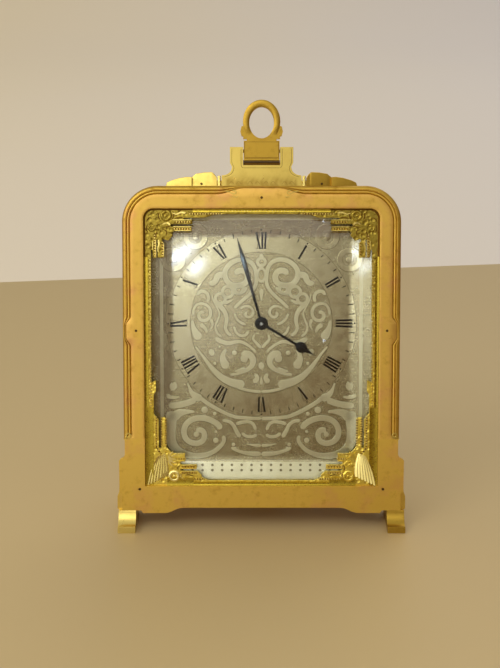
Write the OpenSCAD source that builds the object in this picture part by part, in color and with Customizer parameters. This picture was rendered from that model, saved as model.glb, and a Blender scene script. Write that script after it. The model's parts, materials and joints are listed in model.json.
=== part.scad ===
/* [Stance] */
// How far the clock leans back from upright, degrees
lean = 18; // [16:1:20]
// How far the strut stands open from the back, degrees
strut_open = 30; // [28:1:32]

/* [Front frame] */
// Width over the side mouldings
frame_w = 97.3; // [97:0.1:98]
// Height of the top edge above the base line
frame_top = 120.6;
// Thickness of the front frame
frame_t = 2.4;
// Radius of the outer top corners
frame_r = 12.6;
// Width of the frame's sides, from the outside to the opening
side_w = 7.55;
// Width of the frame's top bar
top_w = 7.9;
// Lower edge of the opening above the base line
sight_bottom = 15.05;
// Radius of the opening's top corners
sight_r = 3.5;
// Width of the reeded edge moulding
moulding_w = 3.0;
// Height at which the moulding stops above the plain ears
moulding_stop = 32;
// Height of the plain rest at the middle of each side
rest_z = 70.2;
// Half the length of that rest
rest_half = 2.9;
// Half the width of the plain rest at the top
top_rest_half = 6.0;
// How far the ears at the bottom stand out past the side mouldings
ear_out = 1.65;

/* [Case] */
// Wall of the case band
band_wall = 2.6;
// How far the glass, mask and dial reach behind the edge of the opening
rebate = 1.3;
// Room for the hands between glass and dial
hand_room = 3.2;
// Room behind the dial for the motion work
motion_room = 1.9;
// Room behind the back plate for the balance and the ratchet
balance_room = 3.2;
// Thickness of the back cover
cover_t = 1.0;

/* [Glass and dial] */
// Width of the glass bevel
bevel_w = 8.7;
// How far the bevel falls
bevel_drop = 1.4;
// Thickness of the glass at its edge
glass_edge = 1.2;
// Height of the dial centre above the base line
centre_z = 72.3;
// Length of the minute hand from the centre
minute_len = 31.5;
// Length of the hour hand from the centre
hour_len = 22.6;
// Time shown, hour hand and minute hand, degrees clockwise from the top
hour_angle = 121;
minute_angle = -15.8;

/* [Strut] */
// Height of the strut hinge above the base line
hinge_z = 88; // [86:1:90]
// Thickness of the strut
strut_t = 1.5;

/* [Hidden] */

// Opening, inside and outside of the case band
sight_w = frame_w - 2 * side_w;
sight_top = frame_top - top_w;
in_x = sight_w / 2 + rebate;
in_bottom = sight_bottom - rebate;
in_top = sight_top + rebate;
band_x = in_x + band_wall;
band_bottom = in_bottom - band_wall;
band_top = in_top + band_wall;
ear_x = frame_w / 2 + ear_out;

// Layers from front to back, measured square to the frame
mask_t = 0.8;
mask_y = frame_t - mask_t;
plate_y = frame_t;
plate_t = 1.5;
band_y = plate_y + plate_t;
glass_y = band_y - bevel_drop;
glass_back = band_y + glass_edge;
keeper_t = 0.8;
hand_y = glass_back + 1.0;
dial_y = glass_back + hand_room;
dial_t = 0.8;
front_plate_y = dial_y + dial_t + motion_room;
train_plate_t = 1.0;
pillar_len = 4.6;
back_plate_y = front_plate_y + train_plate_t + pillar_len;
cover_y = back_plate_y + train_plate_t + balance_room;
cover_back = cover_y + cover_t;
square_end = cover_back - 0.6;

// Clearances
run_fit = 0.05;
press_fit = 0.02;
seat_gap = 0.1;

// Wheels: teeth and module of each meshing pair
great_n = 72;
centre_pinion_n = 12;
great_m = 0.3;
centre_n = 60;
third_pinion_n = 8;
centre_m = 0.24;
third_n = 64;
fourth_pinion_n = 8;
third_m = 0.2;
fourth_n = 64;
escape_pinion_n = 8;
fourth_m = 0.18;
cannon_n = 12;
minute_n = 36;
minute_m = 0.3;
minute_pinion_n = 10;
hour_n = 40;
hour_m = 0.288;
ratchet_n = 24;
escape_n = 15;

// Arbor positions, from the dial centre
function polar(r, a) = [r * cos(a), r * sin(a)];
function reach(n1, n2, m) = (n1 + n2) * m / 2;
barrel_at = polar(reach(great_n, centre_pinion_n, great_m), -15);
third_at = polar(reach(centre_n, third_pinion_n, centre_m), 150);
fourth_at = third_at + polar(reach(third_n, fourth_pinion_n, third_m), -120);
escape_at = fourth_at + polar(reach(fourth_n, escape_pinion_n, fourth_m), -70);
pallet_at = escape_at + polar(4.75, -40);
balance_at = pallet_at + polar(6.5, -10);
minute_at = polar(reach(cannon_n, minute_n, minute_m), 60);
click_at = barrel_at + polar(8.6, 20);
plate_r = 27.5;
pillar_r = 24.5;
pillar_angles = [45, 135, 205, 295];
foot_angles = [90, 210, 330];
dial_foot_r = 22;

// Hinge of the strut, and its length down to the floor
hinge_y = cover_back + 2.5;
strut_len = (hinge_z - hinge_y * tan(lean)) / (cos(strut_open) + sin(strut_open) * tan(lean));

// Fixings
side_pin_x = in_x + 1.5;
low_pin_x = in_x + 0.6;
pin_spots = [
  [-side_pin_x, rest_z], [side_pin_x, rest_z], [0, frame_top - 4.1],
  [-low_pin_x, in_bottom + 0.25], [low_pin_x, in_bottom + 0.25]
];
crest_pin_spots = [[-5.25, 1.2], [5.25, 1.2], [-21, 0.8], [21, 0.8]];
corner_block = 7.5;
cover_screw_x = in_x - corner_block / 2;
cover_screw_spots = [
  for (z = [in_bottom + corner_block / 2, in_top - corner_block / 2])
    for (s = [-1, 1])
      [s * cover_screw_x, z]
];
lug_w = 3.8;
stud_x = in_x - 2.0;
stud_spots = [for (z = [in_bottom + 31.2, in_top - 18.4]) for (s = [-1, 1]) [s * stud_x, z]];
bracket_half = [13, 5.5];
bracket_spots = [for (z = [-3.5, 3.5]) for (s = [-1, 1]) [s * 11, hinge_z + z]];
rail_screw = [10, band_y + 5];
foot_x = frame_w / 2 - 4.25;
foot_w = 6.2;
foot_screw = [foot_x - 4.4, band_y + 3.3];

// Hanging loop: its hinge pin above the frame's top edge, ring, hole and block
bow_z = 12.15;
bow_ring = [6.5, 7.45];
bow_hole = [4.3, 5.4];
bow_block_x = 6.2;
bow_gap = 0.25;
bow_pin_r = 0.6;
bow_y = plate_y + 1.5;

// The whole clock is drawn upright and leaned back onto its feet
module stance() {
  rotate([-lean, 0, 0])
    children();
}

// The cresting is drawn from the frame's top edge
module crest() {
  stance()
    translate([0, 0, frame_top])
      children();
}

// A flat shape seen from the front, made solid between two depths
module slab(y0, y1) {
  translate([0, y1, 0])
    rotate([90, 0, 0])
      linear_extrude(height = y1 - y0)
        children();
}

// A round rod between two depths
module rod(r, y0, y1) {
  translate([0, y1, 0])
    rotate([90, 0, 0])
      cylinder(r = r, h = y1 - y0, $fn = 48);
}

// Places a wheel from the dial centre
module at(p) {
  translate([p[0], 0, centre_z + p[1]])
    children();
}

// Places something on the front face
module spot(p) {
  translate([p[0], 0, p[1]])
    children();
}

// A rectangle by its edges
module box2(x0, x1, z0, z1) {
  translate([x0, z0])
    square([x1 - x0, z1 - z0]);
}

module both_sides() {
  children();
  mirror([1, 0, 0])
    children();
}

// A rectangle with two rounded top corners
module arched(half, z0, z1, r) {
  box2(-half, half, z0, z1 - r);
  box2(-half + r, half - r, z1 - r - 0.01, z1);
  translate([-half + r, z1 - r])
    circle(r = r, $fn = 96);
  translate([half - r, z1 - r])
    circle(r = r, $fn = 96);
}

// A screw along the depth: its head at the back
module back_screw(r, head_r, y0, y1, head) {
  difference() {
    union() {
      rod(r, y0, y1);
      rod(head_r, y1, y1 + head);
    }
    translate([-head_r, y1 + head / 2, -0.2])
      cube([2 * head_r, head, 0.4]);
  }
}

// A tooth ring: widths and heights in modules, so that leaves and teeth run with play
function tooth(r, a, steps) = [for (s = steps) polar(r + s[0], a + s[1] * 90 / PI / (r + s[0]))];
function tooth_ring(n, m, wp, wt, wr, up, down) = [
  for (i = [0 : n - 1])
    for (p = tooth(n * m / 2, 360 * i / n, [
      [-down * m, -wr * m], [0, -wp * m], [up * m, -wt * m],
      [up * m, wt * m], [0, wp * m], [-down * m, wr * m]
    ]))
      p
];
function wheel_ring(n, m) = tooth_ring(n, m, 1.35, 0.55, 1.7, 0.95, 1.25);
function leaf_ring(n, m) = tooth_ring(n, m, 1.05, 0.45, 1.2, 0.75, 1.35);

// A bore whose flats just clear a round arbor
module bore(r) {
  circle(r = (r + press_fit) / cos(180 / 12), $fn = 12);
}

// A wheel with crossings between its rim and hub
module wheel(n, m, hub, arms, y0, y1, turn, arbor_r) {
  root = n * m / 2 - 1.25 * m;
  slab(y0, y1)
    difference() {
      rotate(turn)
        polygon(wheel_ring(n, m));
      if (arms > 0) {
        difference() {
          circle(r = root - 0.7, $fn = 12);
          circle(r = hub, $fn = 12);
          for (i = [0 : arms - 1])
            rotate(360 * i / arms)
              translate([0, -0.35])
                square([root, 0.7]);
        }
      }
      bore(arbor_r);
    }
}

module pinion(n, m, y0, y1, turn, arbor_r) {
  slab(y0, y1)
    difference() {
      rotate(turn)
        polygon(leaf_ring(n, m));
      bore(arbor_r);
    }
}

// An arbor with a thinner pivot at each end, running in both plates
module arbor(r, pivot_r) {
  rod(r, front_plate_y + train_plate_t + seat_gap, back_plate_y - seat_gap);
  rod(pivot_r, front_plate_y + 0.2, back_plate_y + train_plate_t - 0.2);
}

// Outline of the front frame below its moulding: apron with ogees, foot seats and ears
function apron_half() = [
  [-1, 7.35], [27.6, 7.35], [29.2, 7.15], [30.6, 6.6], [32.0, 5.9], [33.8, 5.45],
  [foot_x - 2.4, 5.45], [foot_x - 1.8, 6.4], [ear_x - 1.0, 6.4], [ear_x - 1.0, 12.4], [ear_x - 0.1, 12.9],
  [ear_x, 24.2], [ear_x - 0.6, 24.9], [ear_x - 1.6, 25.3], [ear_x - 2.1, 26.4], [ear_x - 2.1, moulding_stop - 0.4],
  [frame_w / 2, moulding_stop], [frame_w / 2, moulding_stop + 1], [-1, moulding_stop + 1]
];

module frame_outline(inset = 0) {
  arched(frame_w / 2 - inset, moulding_stop + 0.5, frame_top - inset, frame_r - inset);
}

// The part of the outline that carries the reeds
module reeded_zone() {
  difference() {
    box2(-frame_w, frame_w, moulding_stop + 0.8, frame_top + 5);
    for (s = [-1, 1])
      translate([s * frame_w / 2, rest_z])
        box2(-moulding_w - 1, moulding_w + 1, -rest_half, rest_half);
    box2(-top_rest_half, top_rest_half, frame_top - 6, frame_top + 6);
  }
}

// One groove that follows the outer edge at a given distance
module groove_line(from, to) {
  intersection() {
    difference() {
      frame_outline(from);
      frame_outline(to);
    }
    reeded_zone();
  }
}

module front_frame() {
  color("goldenrod")
    stance()
      difference() {
        union() {
          slab(0, frame_t)
            frame_outline();
          both_sides()
            slab(0, frame_t)
              polygon(apron_half());
        }
        slab(-1, frame_t + 1)
          arched(sight_w / 2, sight_bottom, sight_top, sight_r);
        slab(mask_y, frame_t + 1)
          box2(-in_x, in_x, in_bottom, in_top);
        slab(-1, 0.5)
          groove_line(0.95, 1.2);
        slab(-1, 0.5)
          groove_line(2.05, 2.3);
        slab(-1, 0.35)
          groove_line(moulding_w, moulding_w + 0.35);
        for (p = pin_spots)
          spot(p)
            rod(0.5, -1, frame_t + 1);
      }
}

module frame_pins() {
  color("dimgray")
    stance()
      for (p = pin_spots)
        spot(p)
          rod(0.5 - run_fit, 0.15, plate_y + 1.0);
}

// The shaped plate behind the frame, with ears that flare over the feet
module profile_plate() {
  color("gold")
    stance()
      difference() {
        union() {
          slab(plate_y, band_y)
            intersection() {
              frame_outline(0.6);
              box2(-frame_w, frame_w, 0, frame_top - 2.6);
            }
          both_sides()
            slab(plate_y, band_y)
              polygon([
                [-1, 9.0], [foot_x - 1.8, 9.0], [foot_x - 1.8, 6.4], [ear_x + 0.9, 6.4],
                [ear_x + 0.9, 11.0], [ear_x + 0.3, 12.6], [ear_x - 0.2, 24.0], [ear_x - 2.3, 25.0],
                [ear_x - 2.3, moulding_stop + 1], [-1, moulding_stop + 1]
              ]);
        }
        slab(plate_y - 1, plate_y + 3)
          arched(sight_w / 2 + 0.2, sight_bottom - 0.15, sight_top + 0.2, sight_r);
        for (p = pin_spots)
          spot(p)
            rod(0.5, plate_y - 1, plate_y + 1.1);
      }
}

// Stepped centre of the cresting: concave shoulders up to a notched block
module crest_plate() {
  base_x = 14.0;
  block_x = 11.0;
  notch_x = bow_block_x + bow_gap;
  shoulder = [for (a = [0 : 10 : 90]) [base_x - 0.3 - 3.4 * sin(a), 6.6 - 2.9 * cos(a)]];
  color("khaki")
    crest()
      difference() {
        union() {
          slab(plate_y, band_y)
            both_sides()
              polygon(concat([[0, -2.55], [base_x, -2.55], [base_x - 0.1, 3.6]], shoulder, [[0, 6.6]]));
          slab(plate_y, plate_y + 3)
            both_sides()
              polygon([
                [0, 4.6], [block_x - 0.2, 4.6], [block_x - 0.7, 6.6], [block_x, 8.0],
                [block_x, bow_z + 1.3], [notch_x, bow_z + 1.3], [notch_x, 7.2], [0, 7.2]
              ]);
        }
        translate([-20, bow_y, bow_z])
          rotate([0, 90, 0])
            cylinder(r = bow_pin_r + run_fit, h = 40, $fn = 48);
        for (p = crest_pin_spots)
          spot(p)
            rod(0.45, plate_y - 1, band_y + 1);
      }
}

// A stepped scroll leaf beside the cresting
module crest_wing(side) {
  color("khaki")
    crest()
      difference() {
        slab(plate_y, band_y)
          mirror([side < 0 ? 1 : 0, 0])
            polygon([
              [15.6, -2.55], [15.6, 2.9], [17.2, 4.9], [20.0, 4.75], [22.9, 4.3],
              [24.4, 3.1], [26.0, 3.2], [28.5, 2.85], [31.2, 2.1], [33.2, 1.2], [33.4, -2.55]
            ]);
        spot([side * 21, 0.8])
          rod(0.45, plate_y - 1, band_y + 1);
      }
}

module crest_wing_left() {
  crest_wing(-1);
}

module crest_wing_right() {
  crest_wing(1);
}

module crest_posts() {
  post_w = 1.1;
  color("gold")
    crest()
      for (s = [-1, 1])
        translate([s * 14.8 - post_w / 2, plate_y, -2.55])
          cube([post_w, plate_t, 6.15]);
}

module crest_pins() {
  color("dimgray")
    crest()
      for (p = crest_pin_spots)
        spot(p)
          rod(0.45 - run_fit, plate_y + 0.15, band_y + 1.0);
}

// Angle bar on top of the band that backs the cresting
module crest_rail() {
  rail_t = 1.2;
  foot_z = band_top - frame_top;
  color("peru")
    crest()
      difference() {
        union() {
          slab(band_y, band_y + rail_t)
            box2(-31, 31, foot_z, 2.0);
          translate([-14, band_y, foot_z])
            cube([28, 8, rail_t]);
        }
        for (p = crest_pin_spots)
          spot(p)
            rod(0.45, band_y - 1, band_y + 1.1);
        for (s = [-1, 1])
          translate([s * rail_screw[0], rail_screw[1], foot_z - 1])
            cylinder(r = 0.85, h = 4, $fn = 48);
      }
}

module crest_rail_screws() {
  color("dimgray")
    stance()
      for (s = [-1, 1])
        translate([s * rail_screw[0], rail_screw[1], band_top]) {
          translate([0, 0, -1.6])
            cylinder(r = 0.8, h = 2.8, $fn = 48);
          translate([0, 0, 1.2])
            cylinder(r = 1.5, h = 0.6, $fn = 48);
        }
}

// Hanging loop: flattened ring with side lugs on a hinge block
module bow() {
  ring_z = bow_z + 10.15;
  color("goldenrod")
    crest()
      difference() {
        union() {
          translate([0, bow_y, 0])
            slab(-0.9, 0.9)
              difference() {
                union() {
                  translate([0, ring_z])
                    scale(bow_ring)
                      circle(r = 1, $fn = 96);
                  box2(-bow_ring[0] + 0.1, bow_ring[0] - 0.1, ring_z - 6.0, ring_z + 0.7);
                  both_sides()
                    translate([bow_ring[0], ring_z])
                      polygon([[-1, -5.3], [0.5, -5.0], [0.9, -3.5], [0.5, -1.7], [-1, -1.3]]);
                  box2(-bow_block_x + 1, bow_block_x - 1, ring_z - 6.9, ring_z - 4.9);
                }
                translate([0, ring_z - 0.4])
                  scale(bow_hole)
                    circle(r = 1, $fn = 96);
              }
          translate([0, bow_y, 0])
            slab(-1.9, 1.9)
              box2(-bow_block_x, bow_block_x, bow_z - 3.35, bow_z + 3.4);
        }
        translate([-20, bow_y, bow_z])
          rotate([0, 90, 0])
            cylinder(r = bow_pin_r + run_fit, h = 40, $fn = 48);
      }
}

module bow_pin() {
  color("dimgray")
    crest()
      translate([-10.8, bow_y, bow_z])
        rotate([0, 90, 0])
          cylinder(r = bow_pin_r, h = 21.6, $fn = 48);
}

// Half of the mask seen from the front: border strips and pierced corners, drawn from the opening's corners
module mask_half() {
  x_out = in_x - seat_gap;
  z_out = in_top - seat_gap;
  z_low = in_bottom + seat_gap;
  strip = 1.9;
  // border strips
  box2(sight_w / 2 - strip, x_out, z_low, z_out);
  box2(sight_w / 2 - strip - 0.6, x_out, rest_z + 3.8, z_out);
  box2(0, x_out, sight_top - strip, z_out);
  box2(0, x_out, z_low, sight_bottom + strip);
  // upper corner
  translate([sight_w / 2, sight_top]) {
    polygon([[-25.3, -1.8], [-21.4, -3.1], [-13.3, -3.2], [-13.3, -0.7], [-25.3, -0.7]]);
    polygon([
      [-13.9, -1.7], [-13.9, -3.4], [-14.5, -3.9], [-16.95, -3.9], [-16.95, -5.3], [-9.7, -5.3],
      [-9.1, -5.7], [-9.7, -6.2], [-16.7, -6.2], [-16.7, -7.7], [-10.6, -7.7], [-9.6, -8.4],
      [-10.2, -9.2], [-8.5, -11.1], [-6.7, -10.5], [-6.3, -11.1], [-7.1, -12.1], [-7.1, -17],
      [-4.8, -17], [-4.8, -10.7], [-4.4, -10.7], [-4.4, -17], [-3.1, -17], [-3.1, -14.7],
      [-2.5, -14.1], [-1.1, -14.1], [-1.1, -1.7]
    ]);
  }
  // lower corner
  translate([sight_w / 2, sight_bottom])
    polygon([
      [-1.1, 37.15], [-1.9, 36.55], [-3.9, 37.55], [-3.9, 33.55], [-3.1, 32.35], [-3.1, 25.65],
      [-3.7, 24.75], [-4.8, 23.55], [-4.8, 13.45], [-5.7, 13.45], [-5.7, 24.35], [-7, 24.35],
      [-7, 14.85], [-7.6, 13.65], [-8.9, 12.15], [-10.3, 11.55], [-14.1, 11.55], [-14.1, 8.55],
      [-12.5, 8.45], [-12.1, 7.95], [-12.8, 7.45], [-18.2, 7.45], [-18.2, 5.85], [-12.5, 5.8],
      [-12.2, 5.55], [-12.8, 5.25], [-18.5, 5.15], [-19.9, 3.75], [-19.9, 2.95], [-22.7, 1.75],
      [-22.7, 0.95], [-1.1, 0.95]
    ]);
}

module mask() {
  color("gold")
    stance()
      slab(mask_y, plate_y)
        both_sides()
          mask_half();
}

// Bevelled glass: flat field, sloping border and thin upright edge
module glass() {
  x1 = in_x - seat_gap;
  z0 = in_bottom + seat_gap;
  z1 = in_top - seat_gap;
  x2 = sight_w / 2 - bevel_w;
  z2 = sight_bottom + bevel_w;
  z3 = sight_top - bevel_w;
  color("lightcyan")
    stance()
      polyhedron(
        points = [
          [-x1, glass_back, z0], [x1, glass_back, z0], [x1, glass_back, z1], [-x1, glass_back, z1],
          [-x1, band_y, z0], [x1, band_y, z0], [x1, band_y, z1], [-x1, band_y, z1],
          [-sight_w / 2, band_y, sight_bottom], [sight_w / 2, band_y, sight_bottom],
          [sight_w / 2, band_y, sight_top], [-sight_w / 2, band_y, sight_top],
          [-x2, glass_y, z2], [x2, glass_y, z2], [x2, glass_y, z3], [-x2, glass_y, z3]
        ],
        faces = [
          [0, 1, 2, 3], [1, 0, 4, 5], [2, 1, 5, 6], [3, 2, 6, 7], [0, 3, 7, 4],
          [5, 4, 8, 9], [6, 5, 9, 10], [7, 6, 10, 11], [4, 7, 11, 8],
          [9, 8, 12, 13], [10, 9, 13, 14], [11, 10, 14, 15], [8, 11, 15, 12],
          [13, 12, 15, 14]
        ]
      );
}

module glass_keeper() {
  color("peru")
    stance()
      slab(glass_back, glass_back + keeper_t)
        difference() {
          box2(-in_x + seat_gap, in_x - seat_gap, in_bottom + seat_gap, in_top - seat_gap);
          box2(-in_x + 1.8, in_x - 1.8, in_bottom + 1.8, in_top - 1.8);
        }
}

// Box-shaped band with corner blocks for the cover and lugs for the dial
module case_band() {
  color("goldenrod")
    stance()
      difference() {
        union() {
          slab(band_y, cover_y)
            difference() {
              arched(band_x, band_bottom, band_top, 4);
              box2(-in_x, in_x, in_bottom, in_top);
            }
          slab(dial_y + dial_t + 0.4, cover_y)
            for (sx = [-1, 1], z = [in_bottom, in_top - corner_block])
              translate([sx < 0 ? -in_x : in_x - corner_block, z])
                square(corner_block);
          slab(dial_y + dial_t, dial_y + dial_t + 2)
            for (p = stud_spots)
              translate([p[0] < 0 ? -in_x : in_x - lug_w, p[1] - 4])
                square([lug_w, 8]);
        }
        for (p = cover_screw_spots)
          spot(p)
            rod(1.0, cover_y - 4, cover_y + 1);
        for (p = stud_spots)
          spot(p)
            rod(0.85, dial_y, dial_y + 4);
        for (s = [-1, 1]) {
          translate([s * rail_screw[0], rail_screw[1], band_top - 2.0])
            cylinder(r = 0.85, h = 4, $fn = 48);
          translate([s * foot_screw[0], foot_screw[1], band_bottom - 1])
            cylinder(r = 0.95, h = 3, $fn = 48);
        }
      }
}

// Bracket foot with a hollow-curved front, cut level with the floor
module foot(side) {
  front_y = -3.2;
  seat_y = band_y + 0.1;
  back_y = seat_y + 6.2;
  curve = [for (a = [0 : 7.5 : 90]) [front_y + 3.5 * cos(a), 6.4 - 5.1 * sin(a)]];
  color("gold")
    mirror([side < 0 ? 1 : 0, 0, 0])
      difference() {
        rotate([-lean, 0, 0])
          union() {
            translate([foot_x, 0, 0])
              rotate([90, 0, 90])
                linear_extrude(height = foot_w)
                  polygon(concat(
                    curve,
                    [[front_y, -4], [back_y, -4], [back_y, band_bottom], [seat_y, band_bottom], [seat_y, 6.4]]
                  ));
            translate([foot_x - 8.9, seat_y, band_bottom - 2])
              cube([9.5, 6.2, 2]);
          }
        translate([0, -30, -20])
          cube([frame_w, 60, 20]);
        rotate([-lean, 0, 0])
          translate([foot_screw[0], foot_screw[1], 6])
            cylinder(r = 0.95, h = 8, $fn = 48);
      }
}

module foot_left() {
  foot(-1);
}

module foot_right() {
  foot(1);
}

module foot_screws() {
  color("dimgray")
    stance()
      for (s = [-1, 1])
        translate([s * foot_screw[0], foot_screw[1], band_bottom]) {
          translate([0, 0, -2])
            cylinder(r = 0.9, h = 3.8, $fn = 48);
          translate([0, 0, -2.6])
            cylinder(r = 1.6, h = 0.6, $fn = 48);
        }
}

module dial_plate() {
  color("silver")
    stance()
      difference() {
        slab(dial_y, dial_y + dial_t)
          box2(-in_x + 0.2, in_x - 0.2, in_bottom + 0.2, in_top - 0.2);
        at([0, 0])
          rod(1.9, dial_y - 1, dial_y + 3);
      }
}

module dial_studs() {
  color("peru")
    stance()
      for (p = stud_spots)
        spot(p)
          rod(0.85 - run_fit, dial_y + dial_t, dial_y + dial_t + 3.4);
}

module dial_nuts() {
  color("peru")
    stance()
      for (p = stud_spots)
        spot(p)
          slab(dial_y + dial_t + 2, dial_y + dial_t + 3.1)
            difference() {
              circle(r = 1.7, $fn = 6);
              circle(r = 0.85, $fn = 48);
            }
}

module dial_feet() {
  color("peru")
    stance()
      for (a = foot_angles)
        at(polar(dial_foot_r, a))
          rod(0.9, dial_y + dial_t, front_plate_y + train_plate_t - 0.1);
}

// Pear-tipped hour hand
module hour_hand() {
  bulb_at = 16.5;
  color("midnightblue")
    stance()
      at([0, 0])
        rotate([0, hour_angle, 0])
          difference() {
            union() {
              rod(2.3, hand_y + 1, hand_y + 1.3);
              slab(hand_y + 1, hand_y + 1.3)
                polygon([[-0.7, 1.7], [-0.4, bulb_at - 1], [0.4, bulb_at - 1], [0.7, 1.7]]);
              translate([0, 0, bulb_at])
                rod(1.96, hand_y + 1, hand_y + 1.3);
              slab(hand_y + 1, hand_y + 1.3)
                polygon([[-1.5, bulb_at + 0.9], [-0.08, hour_len], [0.08, hour_len], [1.5, bulb_at + 0.9]]);
            }
            rod(1.6, hand_y + 0.9, hand_y + 1.9);
          }
}

module minute_hand() {
  color("midnightblue")
    stance()
      at([0, 0])
        rotate([0, minute_angle, 0])
          difference() {
            union() {
              rod(2.0, hand_y, hand_y + 0.3);
              slab(hand_y, hand_y + 0.3)
                polygon([
                  [-0.6, 1.2], [-0.8, 14], [-0.62, 22], [-0.12, minute_len],
                  [0.12, minute_len], [0.62, 22], [0.8, 14], [0.6, 1.2]
                ]);
            }
            rod(1.05, hand_y - 0.1, hand_y + 0.9);
          }
}

module hand_collet() {
  color("midnightblue")
    stance()
      at([0, 0])
        slab(hand_y - 0.65, hand_y)
          difference() {
            circle(r = 1.15, $fn = 48);
            circle(r = 0.6, $fn = 48);
          }
}

// Centre arbor that carries the minute hand, with a square for the setting key
module set_arbor() {
  color("lightsteelblue")
    stance()
      at([0, 0]) {
        rod(0.6, hand_y - 0.8, square_end - 2.4);
        slab(square_end - 2.4, square_end)
          square(1.6, center = true);
      }
}

module cannon_pinion() {
  color("lightsteelblue")
    stance()
      at([0, 0]) {
        slab(hand_y, front_plate_y - 0.15)
          difference() {
            circle(r = 1.05, $fn = 48);
            circle(r = 0.6, $fn = 48);
          }
        pinion(cannon_n, minute_m, front_plate_y - 0.85, front_plate_y - 0.25, 60 + 180 / cannon_n, 1.05);
      }
}

module hour_wheel() {
  color("khaki")
    stance()
      at([0, 0]) {
        slab(hand_y + 1, front_plate_y - 1)
          difference() {
            circle(r = 1.6, $fn = 48);
            circle(r = 1.05 + run_fit, $fn = 48);
          }
        wheel(hour_n, hour_m, 0, 0, front_plate_y - 1.55, front_plate_y - 1.05, 60, 1.6);
      }
}

module minute_wheel() {
  color("khaki")
    stance()
      at(minute_at) {
        wheel(minute_n, minute_m, 2.3, 5, front_plate_y - 0.8, front_plate_y - 0.3, 240, 0.6 + run_fit);
        pinion(minute_pinion_n, hour_m, front_plate_y - 1.65, front_plate_y - 0.8, 240 + 180 / minute_pinion_n, 0.6 + run_fit);
      }
}

module minute_wheel_stud() {
  color("lightsteelblue")
    stance()
      at(minute_at)
        rod(0.6, front_plate_y - 1.75, front_plate_y + 0.8);
}

// Round plate bored for every arbor that runs in it
module front_plate() {
  color("khaki")
    stance()
      difference() {
        at([0, 0])
          rod(plate_r, front_plate_y, front_plate_y + train_plate_t);
        at([0, 0])
          rod(1.1 + run_fit, front_plate_y - 1, front_plate_y + 2);
        at(barrel_at)
          rod(0.9 + run_fit, front_plate_y - 1, front_plate_y + 2);
        for (p = [third_at, fourth_at, escape_at, pallet_at, balance_at])
          at(p)
            rod(0.25 + run_fit, front_plate_y - 1, front_plate_y + 2);
        at(minute_at)
          rod(0.6, front_plate_y - 1, front_plate_y + 0.8);
        for (a = foot_angles)
          at(polar(dial_foot_r, a))
            rod(0.95, front_plate_y - 1, front_plate_y + 2);
        for (a = pillar_angles)
          at(polar(pillar_r, a))
            rod(0.9, front_plate_y - 1, front_plate_y + 2);
      }
}

module back_plate() {
  color("khaki")
    stance()
      difference() {
        at([0, 0])
          rod(plate_r, back_plate_y, back_plate_y + train_plate_t);
        at([0, 0])
          rod(1.1 + run_fit, back_plate_y - 0.6, back_plate_y + 2.4);
        at(barrel_at)
          rod(1.5 + run_fit, back_plate_y - 0.6, back_plate_y + 2.4);
        for (p = [third_at, fourth_at, escape_at, pallet_at])
          at(p)
            rod(0.25 + run_fit, back_plate_y - 0.6, back_plate_y + 2.4);
        at(balance_at)
          rod(1.7, back_plate_y - 0.6, back_plate_y + 2.4);
        at(click_at)
          rod(0.6, back_plate_y - 0.6, back_plate_y + 2.4);
        for (a = pillar_angles)
          at(polar(pillar_r, a))
            rod(0.85, back_plate_y - 0.6, back_plate_y + 2.4);
        at(balance_at + [0, -11.2])
          rod(0.8, back_plate_y - 0.6, back_plate_y + 2.4);
      }
}

module pillars() {
  color("khaki")
    stance()
      for (a = pillar_angles)
        at(polar(pillar_r, a))
          difference() {
            union() {
              rod(1.7, front_plate_y + train_plate_t, back_plate_y);
              rod(0.9, front_plate_y, front_plate_y + train_plate_t);
            }
            rod(0.8, back_plate_y - 2.5, back_plate_y + 1);
          }
}

module pillar_screws() {
  color("midnightblue")
    stance()
      for (a = pillar_angles)
        at(polar(pillar_r, a))
          back_screw(0.8, 1.5, back_plate_y - 2.3, back_plate_y + train_plate_t, 0.6);
}

module barrel() {
  color("khaki")
    stance()
      at(barrel_at)
        difference() {
          union() {
            rod(4.0, front_plate_y + 1.3, front_plate_y + 2.4);
            rod(9.9, front_plate_y + 2.3, back_plate_y - 1.1);
          }
          rod(9.2, front_plate_y + 2.8, back_plate_y - 0.6);
          rod(1.5 + run_fit, front_plate_y + 1, back_plate_y - 0.6);
        }
}

module great_wheel() {
  color("khaki")
    stance()
      at(barrel_at)
        wheel(great_n, great_m, 0, 0, front_plate_y + 1.3, front_plate_y + 2.3, 165, 4.0);
}

module barrel_cover() {
  color("khaki")
    stance()
      at(barrel_at)
        difference() {
          rod(9.2 - press_fit, back_plate_y - 1.6, back_plate_y - 1.15);
          rod(1.5 + run_fit, front_plate_y + 3, back_plate_y - 0.6);
        }
}

// A flat spiral of constant pitch, as a ribbon
function coil(r0, r1, turns, w, n) = concat(
  [for (i = [0 : n]) polar(r0 + (r1 - r0) * i / n + w / 2, 360 * turns * i / n)],
  [for (i = [n : -1 : 0]) polar(r0 + (r1 - r0) * i / n - w / 2, 360 * turns * i / n)]
);

module mainspring() {
  color("slategray")
    stance()
      at(barrel_at)
        slab(front_plate_y + 2.95, back_plate_y - 1.75)
          polygon(coil(1.75, 9.0, 9, 0.25, 270));
}

module barrel_arbor() {
  color("lightsteelblue")
    stance()
      at(barrel_at) {
        rod(0.9, front_plate_y + 0.1, front_plate_y + 1.2);
        rod(1.5, front_plate_y + 1.1, back_plate_y + 1.8);
        slab(back_plate_y + 1.7, square_end)
          square(2.4, center = true);
      }
}

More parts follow.
